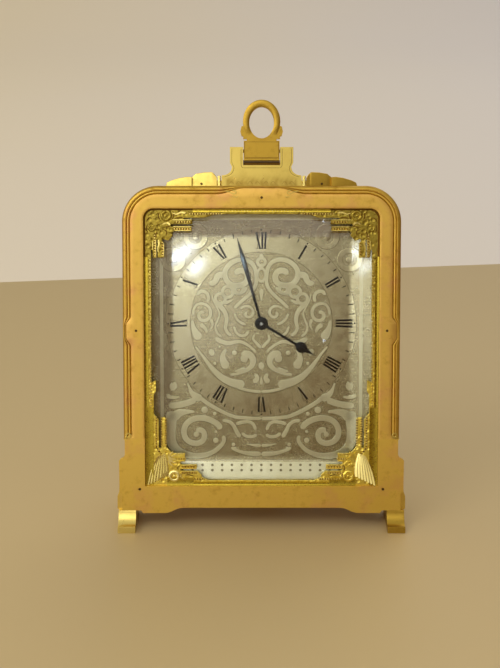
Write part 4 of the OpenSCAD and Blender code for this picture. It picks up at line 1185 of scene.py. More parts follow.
@dataclass
class Cresting:
    """Crest plate, wings, posts and bow, with their engraved borders and leaf folds."""

    face_y: float = 2.4
    back_y: float = 4.0
    pin_y: float = 3.9
    pin_z: float = 12.15
    # Upper edge of a wing, and its folds: from, to, fall in depth
    rim: tuple[Pair, ...] = (
        (15.6, 2.9), (16.2, 3.9), (17.2, 4.85), (20.0, 4.75), (22.9, 4.3), (24.4, 3.1),
        (26.0, 3.2), (28.5, 2.85), (31.2, 2.1), (33.2, 1.2), (33.4, 0.2),
    )
    folds: tuple[tuple[float, float, float], ...] = ((15.6, 24.4, 0.95), (24.4, 33.4, 0.95))
    # The bow's hole and ring: half width, half height, height of the centre above the frame
    bow_ellipses: tuple[tuple[float, float, float], ...] = ((4.32, 5.42, 21.9), (6.48, 7.43, 22.3))
    bow_half_thick: float = 0.9
    bow_rise: float = 0.26
    # The hollow behind the hinge block keeps this far from the pin
    socket_r: float = 4.0

    def build(self) -> None:
        """Eases the castings' edges and adds the wings' leaves and the engraved work."""
        eased("crest_plate", width=0.2, finish=Finish.CREST, segments=3)
        eased("crest_posts", width=0.25, finish=Finish.BEAD, segments=3)
        eased("bow", width=0.3, finish=Finish.BOW, segments=3)
        # The right wing's darker bow finish is painted shade
        self.wing(-1, "crest_wing_left", Finish.CREST)
        self.wing(1, "crest_wing_right", Finish.BOW)
        self.socket()
        self.loop()
        self.block_lines()
        self.stain()
        self.plate_lines()

    def wing(self, side: int, name: str, finish: Finish) -> None:
        """Folds a wing like a leaf. Along it the front falls away from each ridge, so that every
        fold faces outwards by its own angle; its upper edge follows the stepped leaf outline.

        Args:
            side: -1 for the left one, 1 for the right one.
            name: the CAD node.
            finish: its finish.
        """
        x, front = [], []
        for start, end, fall in self.folds:
            along = np.linspace(0.0, 1.0, max(3, int((end - start) / 0.35)))
            x.append(start + 0.01 + (end - start - 0.02) * along)
            front.append(self.face_y + 0.05 + fall * along**1.15)
        x, front = np.concatenate(x), np.concatenate(front)
        high = FRAME_TOP + np.interp(x, *np.array(self.rim).T)
        low, back = np.full_like(x, FRAME_TOP - 2.5), np.full_like(x, self.back_y)
        rows = [
            (back, low), (front, low), (front, high - 0.28), (front + 0.06, high - 0.1),
            (front + 0.22, high), (back, high),
        ]
        shell = Shell()
        shell.loft(np.stack([np.stack([side * x, y, z], axis=1) for y, z in rows], axis=1))
        shell.piece(name + "_folded", finish, replaces=(name,), sharp=25.0)

    def loop(self) -> None:
        """Rounds both faces of the bow's ring. Between the hole's ellipse and the outer one, a
        share t of the way across, the metal rises by bow_rise sqrt(1 - (2t - 1)^2), less and
        less towards the hinge block.
        """
        angle = np.linspace(0.0, 2 * np.pi, 96, endpoint=False)[:, None]
        t = 0.5 - 0.5 * np.cos(np.linspace(0.0, np.pi, 11))
        hole, ring = self.bow_ellipses
        wide, high, mid = (hole[k] * (1 - t) + ring[k] * t for k in range(3))
        flat = np.stack([wide * np.cos(angle), mid + high * np.sin(angle) + FRAME_TOP], axis=-1)
        fade = smoothstep((np.sin(angle) + 0.8) / 0.6)
        rise = self.bow_rise * np.sqrt(1 - (2 * t - 1) ** 2) * fade - 0.03
        faces = quads(96, 11, loop_rows=True, loop_cols=True)
        shell = Shell()
        for out in (-1, 1):
            points = lay(flat, self.pin_y + out * self.bow_half_thick + out * rise)
            shell.add(points.reshape(-1, 3), faces[:, ::-out])
        shell.piece("bow_rounded_ring", Finish.BOW, "bow", sharp=60.0)

    def socket(self) -> None:
        """Closes the gap under the hinge block from behind with a bar. Its top is hollowed by a
        circle about the pin, clear of the block when the bow swings. Its dark brown finish is
        painted shade.
        """
        depth = np.array([3.6, 4.4, 5.2, 5.9, 6.6])
        hollow = self.pin_z - np.sqrt(self.socket_r**2 - (depth - self.pin_y) ** 2)
        foot = [[6.6, 6.0], [5.45, 6.0], [5.45, 7.15], [3.6, 7.15]]
        side = np.concatenate([np.stack([depth, hollow], axis=1), foot]) + [0.0, FRAME_TOP]
        shell = Shell()
        shell.loft(np.stack([np.insert(side, 0, x, axis=1) for x in (-6.4, 6.4)]))
        shell.piece("bow_socket", Finish.LINE, sharp=20.0)

    def block_lines(self) -> None:
        """Cuts a frame and a double line in the hinge block."""
        block = Relief(2.0, FRAME_TOP, height=0.012, sink=0.02)
        lines = Shell()
        for low, high in ((9.35, 9.47), (9.75, 9.9), (15.1, 15.22)):
            block.prism(lines, box(-5.95, low, 5.95, high))
        for s in (-1, 1):
            block.prism(lines, turned(box(5.8, 9.9, 5.95, 15.1), s < 0))
        lines.piece("bow_cut_lines", Finish.LINE, "bow")

    def stain(self) -> None:
        """Lays a film of old lacquer on the plate, thinner with height and towards its edges,
        and patchy by a sum of sine waves.
        """
        levels = np.linspace(-0.4, 5.9, 15)
        across, z = np.meshgrid(np.linspace(-1.0, 1.0, 67), levels, indexing="ij")
        x = across * np.interp(z, [2.8, 3.5, 4.6, 5.9], [13.0, 10.9, 9.7, 9.3])
        patch = 0.5 + 0.16 * np.sin(1.1 * x + 0.8 * z) * np.cos(0.43 * x - 1.3 * z + 1.0)
        patch += 0.09 * np.sin(3.7 * x + 2.0 * np.sin(1.3 * z))
        film_and_shade = (1 - smoothstep((z - 0.6) / 4.4)) * patch
        film_and_shade = film_and_shade * (1 - smoothstep((np.abs(across) - 0.9) / 0.1))
        top = lay(np.stack([x, z + FRAME_TOP], axis=-1), self.face_y - 0.012)
        shell = Shell()
        shell.sheet(top, top + [0.0, 0.03, 0.0], film_and_shade)
        shell.piece("crest_lacquer_stain", Finish.CREST)

    def plate_lines(self) -> None:
        """Cuts a border, a row of chevrons and a level line in the plate."""
        plate = Relief(self.face_y, FRAME_TOP, height=0.018, sink=0.02)
        cuts = Shell()
        inner = [(7.15, 13.0), (7.15, 8.0), (7.0, 6.7), (6.2, 6.25)]
        outer = [(13.2, 3.1), (11.2, 3.75), (10.0, 4.9), (9.65, 6.5), (10.35, 8.2), (10.35, 13.0)]
        for s in (-1, 1):
            plate.ribbon(cuts, turned(inner, s < 0), width=0.14)
            plate.ribbon(cuts, turned(outer, s < 0), width=0.13)
            for x in (1.5, 4.0, 8.0, 10.5):
                chevron = [(x - 1.0, 0.5), (x, 1.6), (x + 1.0, 0.5)]
                plate.ribbon(cuts, turned(chevron, s < 0), width=0.16, head=0.5, tail=0.5)
        plate.prism(cuts, box(-6.2, 6.2, 6.2, 6.32))
        cuts.piece("crest_cut_lines", Finish.LINE)


@dataclass
class CaseBack:
    """Everything of the case that the front hides: band, back, strut and its hinge."""

    # Node, rounding of its edges in millimetres, finish, and faces across a rounded edge
    parts: tuple[tuple[str, float, Finish, int], ...] = (
        ("profile_plate", 0.2, Finish.PLATE, 2),
        ("case_band", 0.25, Finish.PLATE, 2),
        ("back_cover", 0.25, Finish.PLATE, 2),
        ("strut_bracket", 0.2, Finish.PLATE, 2),
        ("strut", 0.22, Finish.PLATE, 2),
        ("shutter", 0.12, Finish.CREST, 2),
        ("crest_rail", 0.2, Finish.PLATE, 2),
        # The left foot's lighter finish is a painted highlight, the right foot's darker one painted
        # shade
        ("foot_left", 0.3, Finish.FOOT, 3),
        ("foot_right", 0.3, Finish.BOW, 3),
        ("back_screws", 0.12, Finish.BLUED, 2),
        ("foot_screws", 0.15, Finish.BLUED, 2),
        ("crest_rail_screws", 0.12, Finish.BLUED, 2),
        ("frame_pins", 0.1, Finish.PIN, 2),
        ("crest_pins", 0.1, Finish.PIN, 2),
    )

    def build(self) -> None:
        """Eases the edges of the sheet and cast parts."""
        for part in self.parts:
            eased(*part)


# The dial


@dataclass(frozen=True)
class Scroll:
    """One engraved ribbon: its path in millimetres from the dial centre, and its widths."""

    path: Path
    width: float
    head: float = 1.0
    tail: float = 1.0


# Right half of the round centre; the left half is its mirror image
CENTRE_SCROLLS = [
    Scroll([
        (9.6, 5.4), (7.8, 7.2), (5.8, 8.9), (4.0, 10.6), (2.6, 12.4), (1.85, 14.4), (1.85, 17.2),
        (2.4, 19.8), (3.7, 21.6), (5.6, 22.5), (7.6, 22.6), (9.7, 22.0), (11.6, 20.6),
        (12.8, 18.7), (12.9, 16.6), (12.0, 14.8), (10.2, 13.6), (8.0, 13.5), (6.1, 14.1),
        (5.05, 15.4), (4.95, 17.0), (5.7, 18.3), (7.0, 18.8), (8.4, 18.5), (9.2, 17.4),
    ], 2.01, 0.62, 1.1),
    Scroll([
        (13.2, 16.8), (14.5, 17.3), (15.6, 16.7), (16.1, 15.4), (17.2, 14.3), (18.7, 14.5),
    ], 2.42, 1.0, 0.8),
    Scroll([(5.2, 12.9), (6.4, 11.2), (8.4, 10.6), (10.2, 11.0)], 1.26, 0.9, 0.8),
    Scroll([(10.3, 8.4), (11.8, 7.6), (13.4, 7.2)], 1.61, 0.5, 0.9),
    Scroll([
        (16.0, 7.6), (14.6, 6.0), (13.2, 4.3), (12.5, 2.4), (12.4, 0.4), (12.8, -1.6),
        (12.0, -3.4), (10.6, -4.4),
    ], 1.95, 0.9, 0.6),
    Scroll([
        (17.6, 10.6), (17.2, 8.4), (15.8, 5.6), (14.9, 3.4), (15.6, 1.0), (16.4, -1.2),
        (15.8, -3.4), (14.2, -4.8),
    ], 1.15, 0.5, 0.8),
    Scroll([(23.0, 10.2), (21.4, 11.4), (19.6, 10.9), (18.8, 9.3), (19.2, 7.6)], 1.72, 0.8, 0.7),
    Scroll([
        (24.3, 3.0), (24.0, 5.0), (22.8, 6.7), (20.9, 7.0), (19.0, 6.1), (18.1, 4.4), (18.3, 2.5),
        (19.7, 1.1), (21.6, 1.3), (22.3, 2.8), (21.4, 4.0), (20.4, 3.6),
    ], 1.67, 0.6, 0.8),
    Scroll([(18.0, 1.6), (17.4, -0.6), (18.2, -2.4)], 1.38, 0.9, 0.5),
    Scroll([(24.6, 1.2), (24.2, -1.4), (23.1, -3.9), (21.7, -5.5)], 3.45, 0.3, 0.95),
    Scroll([(21.8, -0.4), (20.2, -1.6), (19.3, -3.4)], 1.72, 1.0, 0.6),
    Scroll([
        (7.6, 5.2), (5.8, 6.1), (3.9, 5.7), (2.9, 4.2), (3.4, 2.7), (4.8, 2.2), (5.7, 3.2),
        (5.1, 4.2),
    ], 1.38, 0.7, 0.8),
    Scroll([(9.6, 3.6), (8.8, 1.6), (7.2, 0.2), (5.6, -0.4)], 1.49, 0.6, 0.7),
    Scroll([(9.8, -1.0), (9.0, -3.2), (7.4, -4.4), (5.6, -4.2), (4.6, -2.8)], 1.49, 0.6, 0.8),
    Scroll([(2.4, -3.9), (2.9, -5.6), (1.6, -7.2), (0.2, -8.8)], 1.49, 0.6, 0.8),
    Scroll([
        (23.6, -8.2), (21.4, -11.0), (19.4, -13.8), (17.4, -16.3), (14.8, -18.9), (12.0, -20.6),
        (9.0, -21.6), (6.0, -21.8),
    ], 3.1, 0.25, 1.0),
    Scroll([(9.0, -22.7), (6.0, -23.7), (3.0, -24.3), (0.0, -24.5)], 1.15, 0.9, 0.9),
    Scroll([(18.2, -9.2), (17.7, -10.4), (17.3, -11.6)], 2.18, 1.0, 0.9),
    Scroll([
        (12.6, -9.2), (13.6, -11.0), (13.7, -13.0), (12.9, -14.8), (12.1, -16.0),
    ], 3.22, 0.4, 1.0),
    Scroll([
        (11.1, -18.4), (8.8, -18.1), (6.6, -17.3), (4.6, -16.3), (3.15, -14.7), (3.05, -12.8),
        (4.1, -11.3), (5.8, -11.0), (6.6, -12.0),
    ], 2.42, 0.4, 1.1),
    Scroll([(9.6, -17.2), (7.6, -16.8), (5.6, -16.4)], 1.84, 0.4, 1.0),
    Scroll([
        (16.4, -5.4), (14.0, -6.6), (11.5, -7.1), (9.0, -6.6), (7.0, -6.7), (4.8, -7.8),
        (2.9, -9.3), (1.9, -10.5),
    ], 2.18, 0.8, 0.45),
    Scroll([(2.3, -18.0), (1.5, -19.6), (2.7, -21.3)], 2.18, 0.6, 1.0),
]
# Dots: right, up, radius. Rings: right, up, inner and outer radius.
CENTRE_DOTS = [(6.1, -12.6, 1.4), (16.6, -14.3, 0.6), (9.6, -10.6, 0.9), (14.9, -8.4, 0.5)]
CENTRE_RINGS = [(7.9, 12.2, 0.95, 2.1), (11.95, 11.2, 1.35, 2.5), (14.6, 8.8, 1.2, 2.35)]
AXIS_SCROLLS = [
    Scroll([(0.0, 23.3), (0.0, 24.7)], 2.4, 1.0, 0.4),
    Scroll([(0.0, 12.3), (0.0, 10.0), (0.0, 7.8)], 1.8, 1.0, 0.4),
    Scroll([(0.0, -13.9), (0.0, -16.4)], 2.0),
    Scroll([(0.0, -19.2), (0.0, -22.0)], 1.4, 0.5, 1.0),
]
# Left half of the corners, from the hour ring's rim down to the border
CORNER_SCROLLS = [
    Scroll([
        (-14.3, -37.9), (-16.0, -36.0), (-18.6, -34.6), (-21.6, -34.0), (-24.6, -34.5),
        (-26.8, -36.2), (-27.75, -38.6), (-27.3, -41.0), (-25.6, -42.7), (-23.2, -43.2),
        (-21.2, -42.4), (-20.4, -40.6), (-20.8, -38.9), (-22.2, -38.3), (-23.2, -39.0),
    ], 2.0, 1.1, 1.0),
    Scroll([(-26.4, -21.4), (-24.6, -25.2), (-21.4, -27.4)], 3.4, 0.2, 0.9),
    Scroll([
        (-22.4, -26.4), (-19.0, -28.9), (-15.6, -30.9), (-12.4, -32.5), (-9.4, -33.6),
        (-6.0, -34.0), (-2.5, -34.2), (0.0, -34.25),
    ], 1.5, 1.0, 0.8),
    Scroll([(-32.6, -29.6), (-29.6, -29.3), (-26.6, -28.6), (-23.4, -27.4)], 2.3, 1.0, 1.0),
    Scroll([(-32.2, -22.4), (-30.2, -22.7)], 3.9),
    Scroll([(-33.4, -25.6), (-31.5, -26.6), (-29.2, -26.4)], 1.6, 1.0, 0.5),
    Scroll([(-23.8, -31.8), (-26.6, -31.8), (-29.6, -32.4), (-32.0, -34.4)], 2.9, 0.35, 1.3),
    Scroll([
        (-31.6, -31.6), (-32.1, -35.5), (-32.4, -40.0), (-31.6, -43.6), (-29.2, -46.2),
        (-25.5, -47.6), (-21.0, -47.6), (-17.2, -46.3), (-14.7, -44.3), (-13.4, -42.2),
        (-13.6, -40.4),
    ], 3.6, 1.0, 0.4),
    Scroll([
        (-14.0, -34.9), (-11.6, -35.3), (-10.0, -36.6), (-9.0, -38.6), (-7.6, -41.0),
    ], 2.3, 0.5, 0.7),
    Scroll([
        (-9.0, -36.2), (-6.8, -35.6), (-4.4, -35.4), (-2.8, -36.4), (-1.9, -38.4),
    ], 1.7, 0.8, 0.7),
    Scroll([(-7.0, -39.4), (-5.4, -40.6), (-3.2, -40.8), (-1.6, -40.0)], 1.5, 0.8, 0.8),
    Scroll([
        (-10.8, -44.6), (-9.2, -45.6), (-6.0, -46.6), (-3.0, -47.0), (0.0, -47.1),
    ], 1.8, 0.6, 1.0),
    Scroll([(-5.4, -43.4), (-2.6, -43.9), (0.0, -44.0)], 1.2, 0.4, 1.0),
]
CORNER_DOTS = [
    (-20.3, -31.1, 1.25), (-16.7, -32.5, 0.7), (-16.3, -39.0, 0.6), (-16.3, -42.1, 1.0),
    (-23.3, -39.9, 1.0), (-10.0, -43.6, 0.7), (-9.4, -45.0, 0.6),
]
TOP_RINGS = [(23.3, 30.6, 2.35, 4.3), (31.0, 22.6, 2.3, 4.2)]


@dataclass
class Dial:
    """The silvered dial: a matted ground, a smooth hour ring, engraved scrolls and numerals."""

    ring_inner: float = 25.3
    ring_outer: float = 33.4
    numeral_inner: float = 26.5
    numeral_outer: float = 31.8
    # Minute marks: from, to, half width; the hours' dots: radius of their circle, radius
    mark: tuple[float, float, float] = (31.55, 32.85, 0.14)
    dot: Pair = (32.65, 0.3)
    # Half widths of the numerals' thick and thin strokes
    bar: float = 0.34
    hair: float = 0.07
    border: Pair = (-53.4, 38.6)
    hole_pitch: float = 3.52

    def scrolls(self) -> None:
        """Lays the scroll ribbons, their rings and dots, and a darker cut edge under each."""
        faint = Shell()
        layers = (
            ("dial_scrolls", Finish.RIBBON, Relief(DIAL_Y, DIAL_Z, height=0.035), 0.0),
            ("dial_scroll_edges", Finish.CUT, Relief(DIAL_Y, DIAL_Z, height=0.014), 0.13),
        )
        for name, finish, relief, grow in layers:
            shell, inset = Shell(), 0.7 * grow
            corner = shell if grow else faint
            for side in (1, -1):
                for item in CENTRE_SCROLLS + CORNER_SCROLLS:
                    path = turned(item.path, side < 0)
                    relief.ribbon(shell, path, item.width, item.head, item.tail, grow)
                for x, z, r in CENTRE_DOTS + CORNER_DOTS:
                    relief.boss(shell, (side * x, z), radius=r, sides=12, grow=grow)
                for x, z, low, high in CENTRE_RINGS:
                    relief.band(shell, (side * x, z), low - inset, high + grow, sides=28)
                for x, z, low, high in TOP_RINGS:
                    relief.band(corner, (side * x, z), low - inset, high + grow, sides=28)
                for x, z, _, _ in TOP_RINGS:
                    relief.boss(corner, (side * x, z), radius=1.1, sides=12, grow=grow)
            for item in AXIS_SCROLLS:
                relief.ribbon(shell, item.path, item.width, item.head, item.tail, grow)
            relief.band(shell, (0, 21.8), 0.8 - inset, 1.95 + grow, sides=24)
            relief.band(shell, (0, 17.3), 1.75 - inset, 2.9 + grow, sides=24, squash=0.58)
            shell.piece(name, finish, sharp=12.0)
        faint.piece("dial_corner_rings", Finish.RING, sharp=12.0)

    def edging(self) -> None:
        """A border of small round holes between two lines along the top and bottom edges, and
        plain lines down the sides. It shows, bent, through the glass's bevel.
        """
        band = Relief(DIAL_Y, DIAL_Z, height=0.03)
        holes = Relief(DIAL_Y - 0.028, DIAL_Z, height=0.012)
        shell, dark = Shell(), Shell()
        low, high = self.border
        for z0, z1 in ((low - 2.4, low + 4.2), (high - 2.4, high + 3.0)):
            band.prism(shell, box(-41.5, z0, 41.5, z1))
        for side in (1, -1):
            band.prism(shell, turned(box(34.4, low + 4.0, 35.6, high - 2.2), side < 0))
        for x in np.arange(-38.7, 39.0, self.hole_pitch):
            for z in (low + 1.0, low + 3.0, high + 0.2):
                holes.boss(dark, (float(x), z), radius=0.5, sides=10)
        shell.piece("dial_border", Finish.RIBBON)
        dark.piece("dial_border_holes", Finish.CUT)

    def ring(self) -> None:
        """The smooth hour ring, its engraved circles, the minute marks and the hours' dots."""
        ring, circles, marks = Shell(), Shell(), Shell()
        Relief(DIAL_Y, DIAL_Z, height=0.04).band(ring, (0, 0), self.ring_inner, self.ring_outer)
        ring.piece("hour_ring", Finish.RING, sharp=12.0)
        lines = Relief(DIAL_Y - 0.036, DIAL_Z, height=0.015)
        for r in (self.ring_inner - 0.02, self.ring_outer - 0.16):
            lines.band(circles, (0, 0), r, r + 0.14)
        circles.piece("dial_lines", Finish.CUT)
        start, end, half = self.mark
        for minute, angle in enumerate(np.arange(60) * np.pi / 30):
            if minute % 5:
                lines.prism(marks, spun(box(-half, start, half, end), angle))
            else:
                spot = spun(np.array([0.0, self.dot[0]]), angle)
                lines.boss(marks, spot, radius=self.dot[1], sides=8)
        marks.piece("minute_marks", Finish.WAX)

    def strokes(self, text: str) -> list[Array]:
        """The strokes of one Roman numeral, upright and centred, between heights 0 and 1.

        Args:
            text: the numeral.

        Returns:
            Outlines whose heights run from 0 to 1 and whose widths are in millimetres.
        """
        widths = {"I": 1.08, "V": 1.75, "X": 1.75}
        # Slanted strokes: top and foot, from the letter's middle, and half width
        slants = {
            "I": (),
            "V": ((-0.62, 0.0, self.bar), (0.62, 0.0, self.hair)),
            "X": ((-0.6, 0.6, self.bar), (0.6, -0.6, self.hair)),
        }
        half = sum(widths[letter] for letter in text) / 2
        x = -half
        out: list[Array] = []
        for letter in text:
            mid = x + widths[letter] / 2
            if letter == "I":
                out.append(box(mid - self.bar, 0, mid + self.bar, 1))
            for top, foot, w in slants[letter]:
                a, b = mid + top, mid + foot
                out.append(np.array([[a - w, 1], [a + w, 1], [b + w, 0], [b - w, 0]]))
            x += widths[letter]
        serif = half - 0.1
        return out + [box(-serif, z - 0.012, serif, z + 0.012) for z in (0.0, 1.0)]

    def numerals(self) -> None:
        """Radial Roman numerals, feet towards the centre and a little wider at the top."""
        ink = Relief(DIAL_Y - 0.036, DIAL_Z, height=0.02)
        shell = Shell()
        tall = self.numeral_outer - self.numeral_inner
        for hour, text in enumerate("XII I II III IIII V VI VII VIII IX X XI".split()):
            for stroke in self.strokes(text):
                x, rise = stroke[:, 0], stroke[:, 1]
                wide = x * (1.0 + 0.16 * (rise - 0.5))
                placed = np.stack([wide, self.numeral_inner + rise * tall], axis=1)
                ink.prism(shell, spun(placed, math.radians(30 * hour)))
        shell.piece("hour_numerals", Finish.WAX)

    def build(self) -> None:
        """Makes the dial's raised and inked work. The plate itself is the CAD node."""
        self.ring()
        self.scrolls()
        self.edging()
        self.numerals()


@dataclass
class Hands:
    """Blued hands. Each blade's half width is read off between given radii, and its face is
    crowned a little. Angles are in degrees clockwise from twelve.
    """

    minute_angle: float = -15.8
    hour_angle: float = 121.0
    minute_y: float = 6.1
    hour_y: float = 7.1
    thick: float = 0.3
    # Across a blade: share of its half width, depth behind its crown, and the share of a painted
    # pale-blue highlight, on one side of the blade
    section: tuple[tuple[float, float, float], ...] = (
        (-1.0, 0.3, 0.0), (-1.0, 0.12, 0.2), (-0.8, 0.04, 0.9), (0.0, 0.0, 0.9),
        (0.8, 0.04, 0.1), (1.0, 0.12, 0.0), (1.0, 0.3, 0.0),
    )
    # Radius and half width along each blade
    minute_blade: tuple[Pair, ...] = (
        (1.5, 0.36), (4, 0.36), (10, 0.45), (16, 0.6), (20, 0.74), (23.2, 0.84), (25.2, 0.7),
        (27.5, 0.42), (29.5, 0.2), (31.5, 0.03),
    )
    hour_blade: tuple[Pair, ...] = (
        (1.9, 0.5), (6, 0.42), (14.2, 0.42), (14.5, 0.7), (15.0, 1.3), (15.7, 1.74),
        (16.5, 1.95), (17.3, 1.8), (18.0, 1.35), (18.7, 0.85), (19.6, 0.5), (20.8, 0.27),
        (22.6, 0.03),
    )

    def blade(
        self, shell: Shell, angle: float, front: float, half: tuple[Pair, ...], rubbed_and_sheen: float
    ) -> None:
        """A painted highlight on one side of it is strongest 23 mm out, by a bell curve.
        It is rubbed most 23 mm out, by a bell curve.

        Args:
            shell: takes the solid.
            angle: degrees clockwise from twelve.
            front: depth of its front face.
            half: (radius, half width) pairs.
            rubbed_and_sheen: strength of the painted highlight, 0 to 1.
        """
        knots = np.array(half)
        across, depth, sheen_across = np.array(self.section).T
        even = np.linspace(knots[0, 0], knots[-1, 0], 70)
        r = np.unique(np.concatenate([even, knots[:, 0]]))
        wide = np.interp(r, *knots.T)[:, None] * across
        flat = np.stack(np.broadcast_arrays(wide, r[:, None]), axis=-1)
        points = spun(flat, math.radians(angle)) + [0.0, DIAL_Z]
        bell = np.exp(-(((r - 23.0) / 2.6) ** 2))[:, None] * sheen_across * rubbed_and_sheen
        marks = np.stack([np.zeros(bell.size), bell.ravel()], axis=1)
        shell.loft(lay(points, front + depth), marks)

    def hub(self, shell: Shell, front: float, inner: float, outer: float) -> None:
        """A flat ring with rounded edges round the centre.

        Args:
            shell: takes the solid.
            front: depth of its front face.
            inner: radius of its hole.
            outer: its radius.
        """
        h = self.thick
        rows = [
            (inner, 0.0), (inner, h - 0.05), (inner + 0.06, h), (outer - 0.16, h),
            (outer - 0.05, h - 0.06), (outer, h - 0.16), (outer, 0.0),
        ]
        Relief(front + h, DIAL_Z, height=h, sink=0.0).ring(shell, (0, 0), rows, sides=48)

    def build(self) -> None:
        """Makes both hands and eases the collet that holds them."""
        # Only the minute hand carries the painted highlight
        hands = (
            ("minute_hand", self.minute_angle, self.minute_y, self.minute_blade, 1.0, 1.05, 2.1),
            ("hour_hand", self.hour_angle, self.hour_y, self.hour_blade, 0.0, 1.6, 2.35),
        )
        for name, angle, front, half, rubbed_and_sheen, inner, outer in hands:
            shell = Shell()
            self.blade(shell, angle, front, half, rubbed_and_sheen)
            self.hub(shell, front, inner, outer)
            shell.piece(name + "_filed", Finish.BLUED, body_of(name), (name,), 30.0)
        eased("hand_collet", width=0.09, finish=Finish.BLUED)


@dataclass
class Hairspring:
    """The balance's spiral spring. Its inner coils swing with the balance, while the outermost
    one stays pinned to the cock's stud.
    """

    centre: Pair = (1.59, 59.87)
    front_y: float = 19.0
    height: float = 0.25
    wire: float = 0.12
    start_r: float = 0.75
    pitch: float = 0.57
    split: float = 4.2
    turns: float = 5.03

    def coil(
        self, name: str, start: float, end: float, body: str, replaces: tuple[str, ...] = ()
    ) -> None:
        """Sweeps the flat wire along the spiral r = start_r + pitch n, for n turns.

        Args:
            name: the piece's name.
            start: turns at the inner end.
            end: turns at the outer end.
            body: the body it rides on.
            replaces: CAD nodes that it stands for.
        """
        turn = np.linspace(start, end, int(48 * (end - start)))[:, None]
        r = self.start_r + self.pitch * turn + 0.5 * self.wire * np.array([-1.0, 1.0, 1.0, -1.0])
        angle = 2 * np.pi * turn
        x, z = self.centre[0] + r * np.cos(angle), self.centre[1] + r * np.sin(angle)
        depth = self.front_y + self.height * np.array([0.0, 0.0, 1.0, 1.0])
        shell = Shell()
        shell.loft(lay(np.stack([x, z], axis=-1), depth))
        shell.piece(name, Finish.SPRING, body, replaces)

    def build(self) -> None:
        """Makes both stretches of the spring."""
        self.coil("hairspring_coils", 0.0, self.split, "balance", ("hairspring",))
        self.coil("hairspring_pinned_end", self.split, self.turns, "case")


@dataclass
class BevelledGlass:
    """Thick glass with a wide ground bevel on its front."""

    half: float = 42.3
    low: float = 13.85
    high: float = 113.9
    sight_low: float = 15.05
    bevel_side: float = 9.6
    bevel_top: float = 9.8
    bevel_low: float = 8.7
    flat_y: float = 2.5
    edge_y: float = 4.8
    back_y: float = 5.1

    def build(self) -> None:
        """Stacks four rectangles, each joined to the next: back, rim, sight edge, flat field."""
        field_low, field_high = self.sight_low + self.bevel_low, SIGHT_TOP - self.bevel_top
        rects = (
            (self.half, self.low, self.high, self.back_y),
            (self.half, self.low, self.high, self.edge_y),
            (SIGHT_HALF, self.sight_low, SIGHT_TOP, self.edge_y),
            (SIGHT_HALF - self.bevel_side, field_low, field_high, self.flat_y),
        )
        shell = Shell()
        shell.loft(np.stack([lay(box(-half, low, half, high), y) for half, low, high, y in rects]))
        shell.piece("glass_bevelled", Finish.GLASS, replaces=("glass",), sharp=1.0)


# The stage


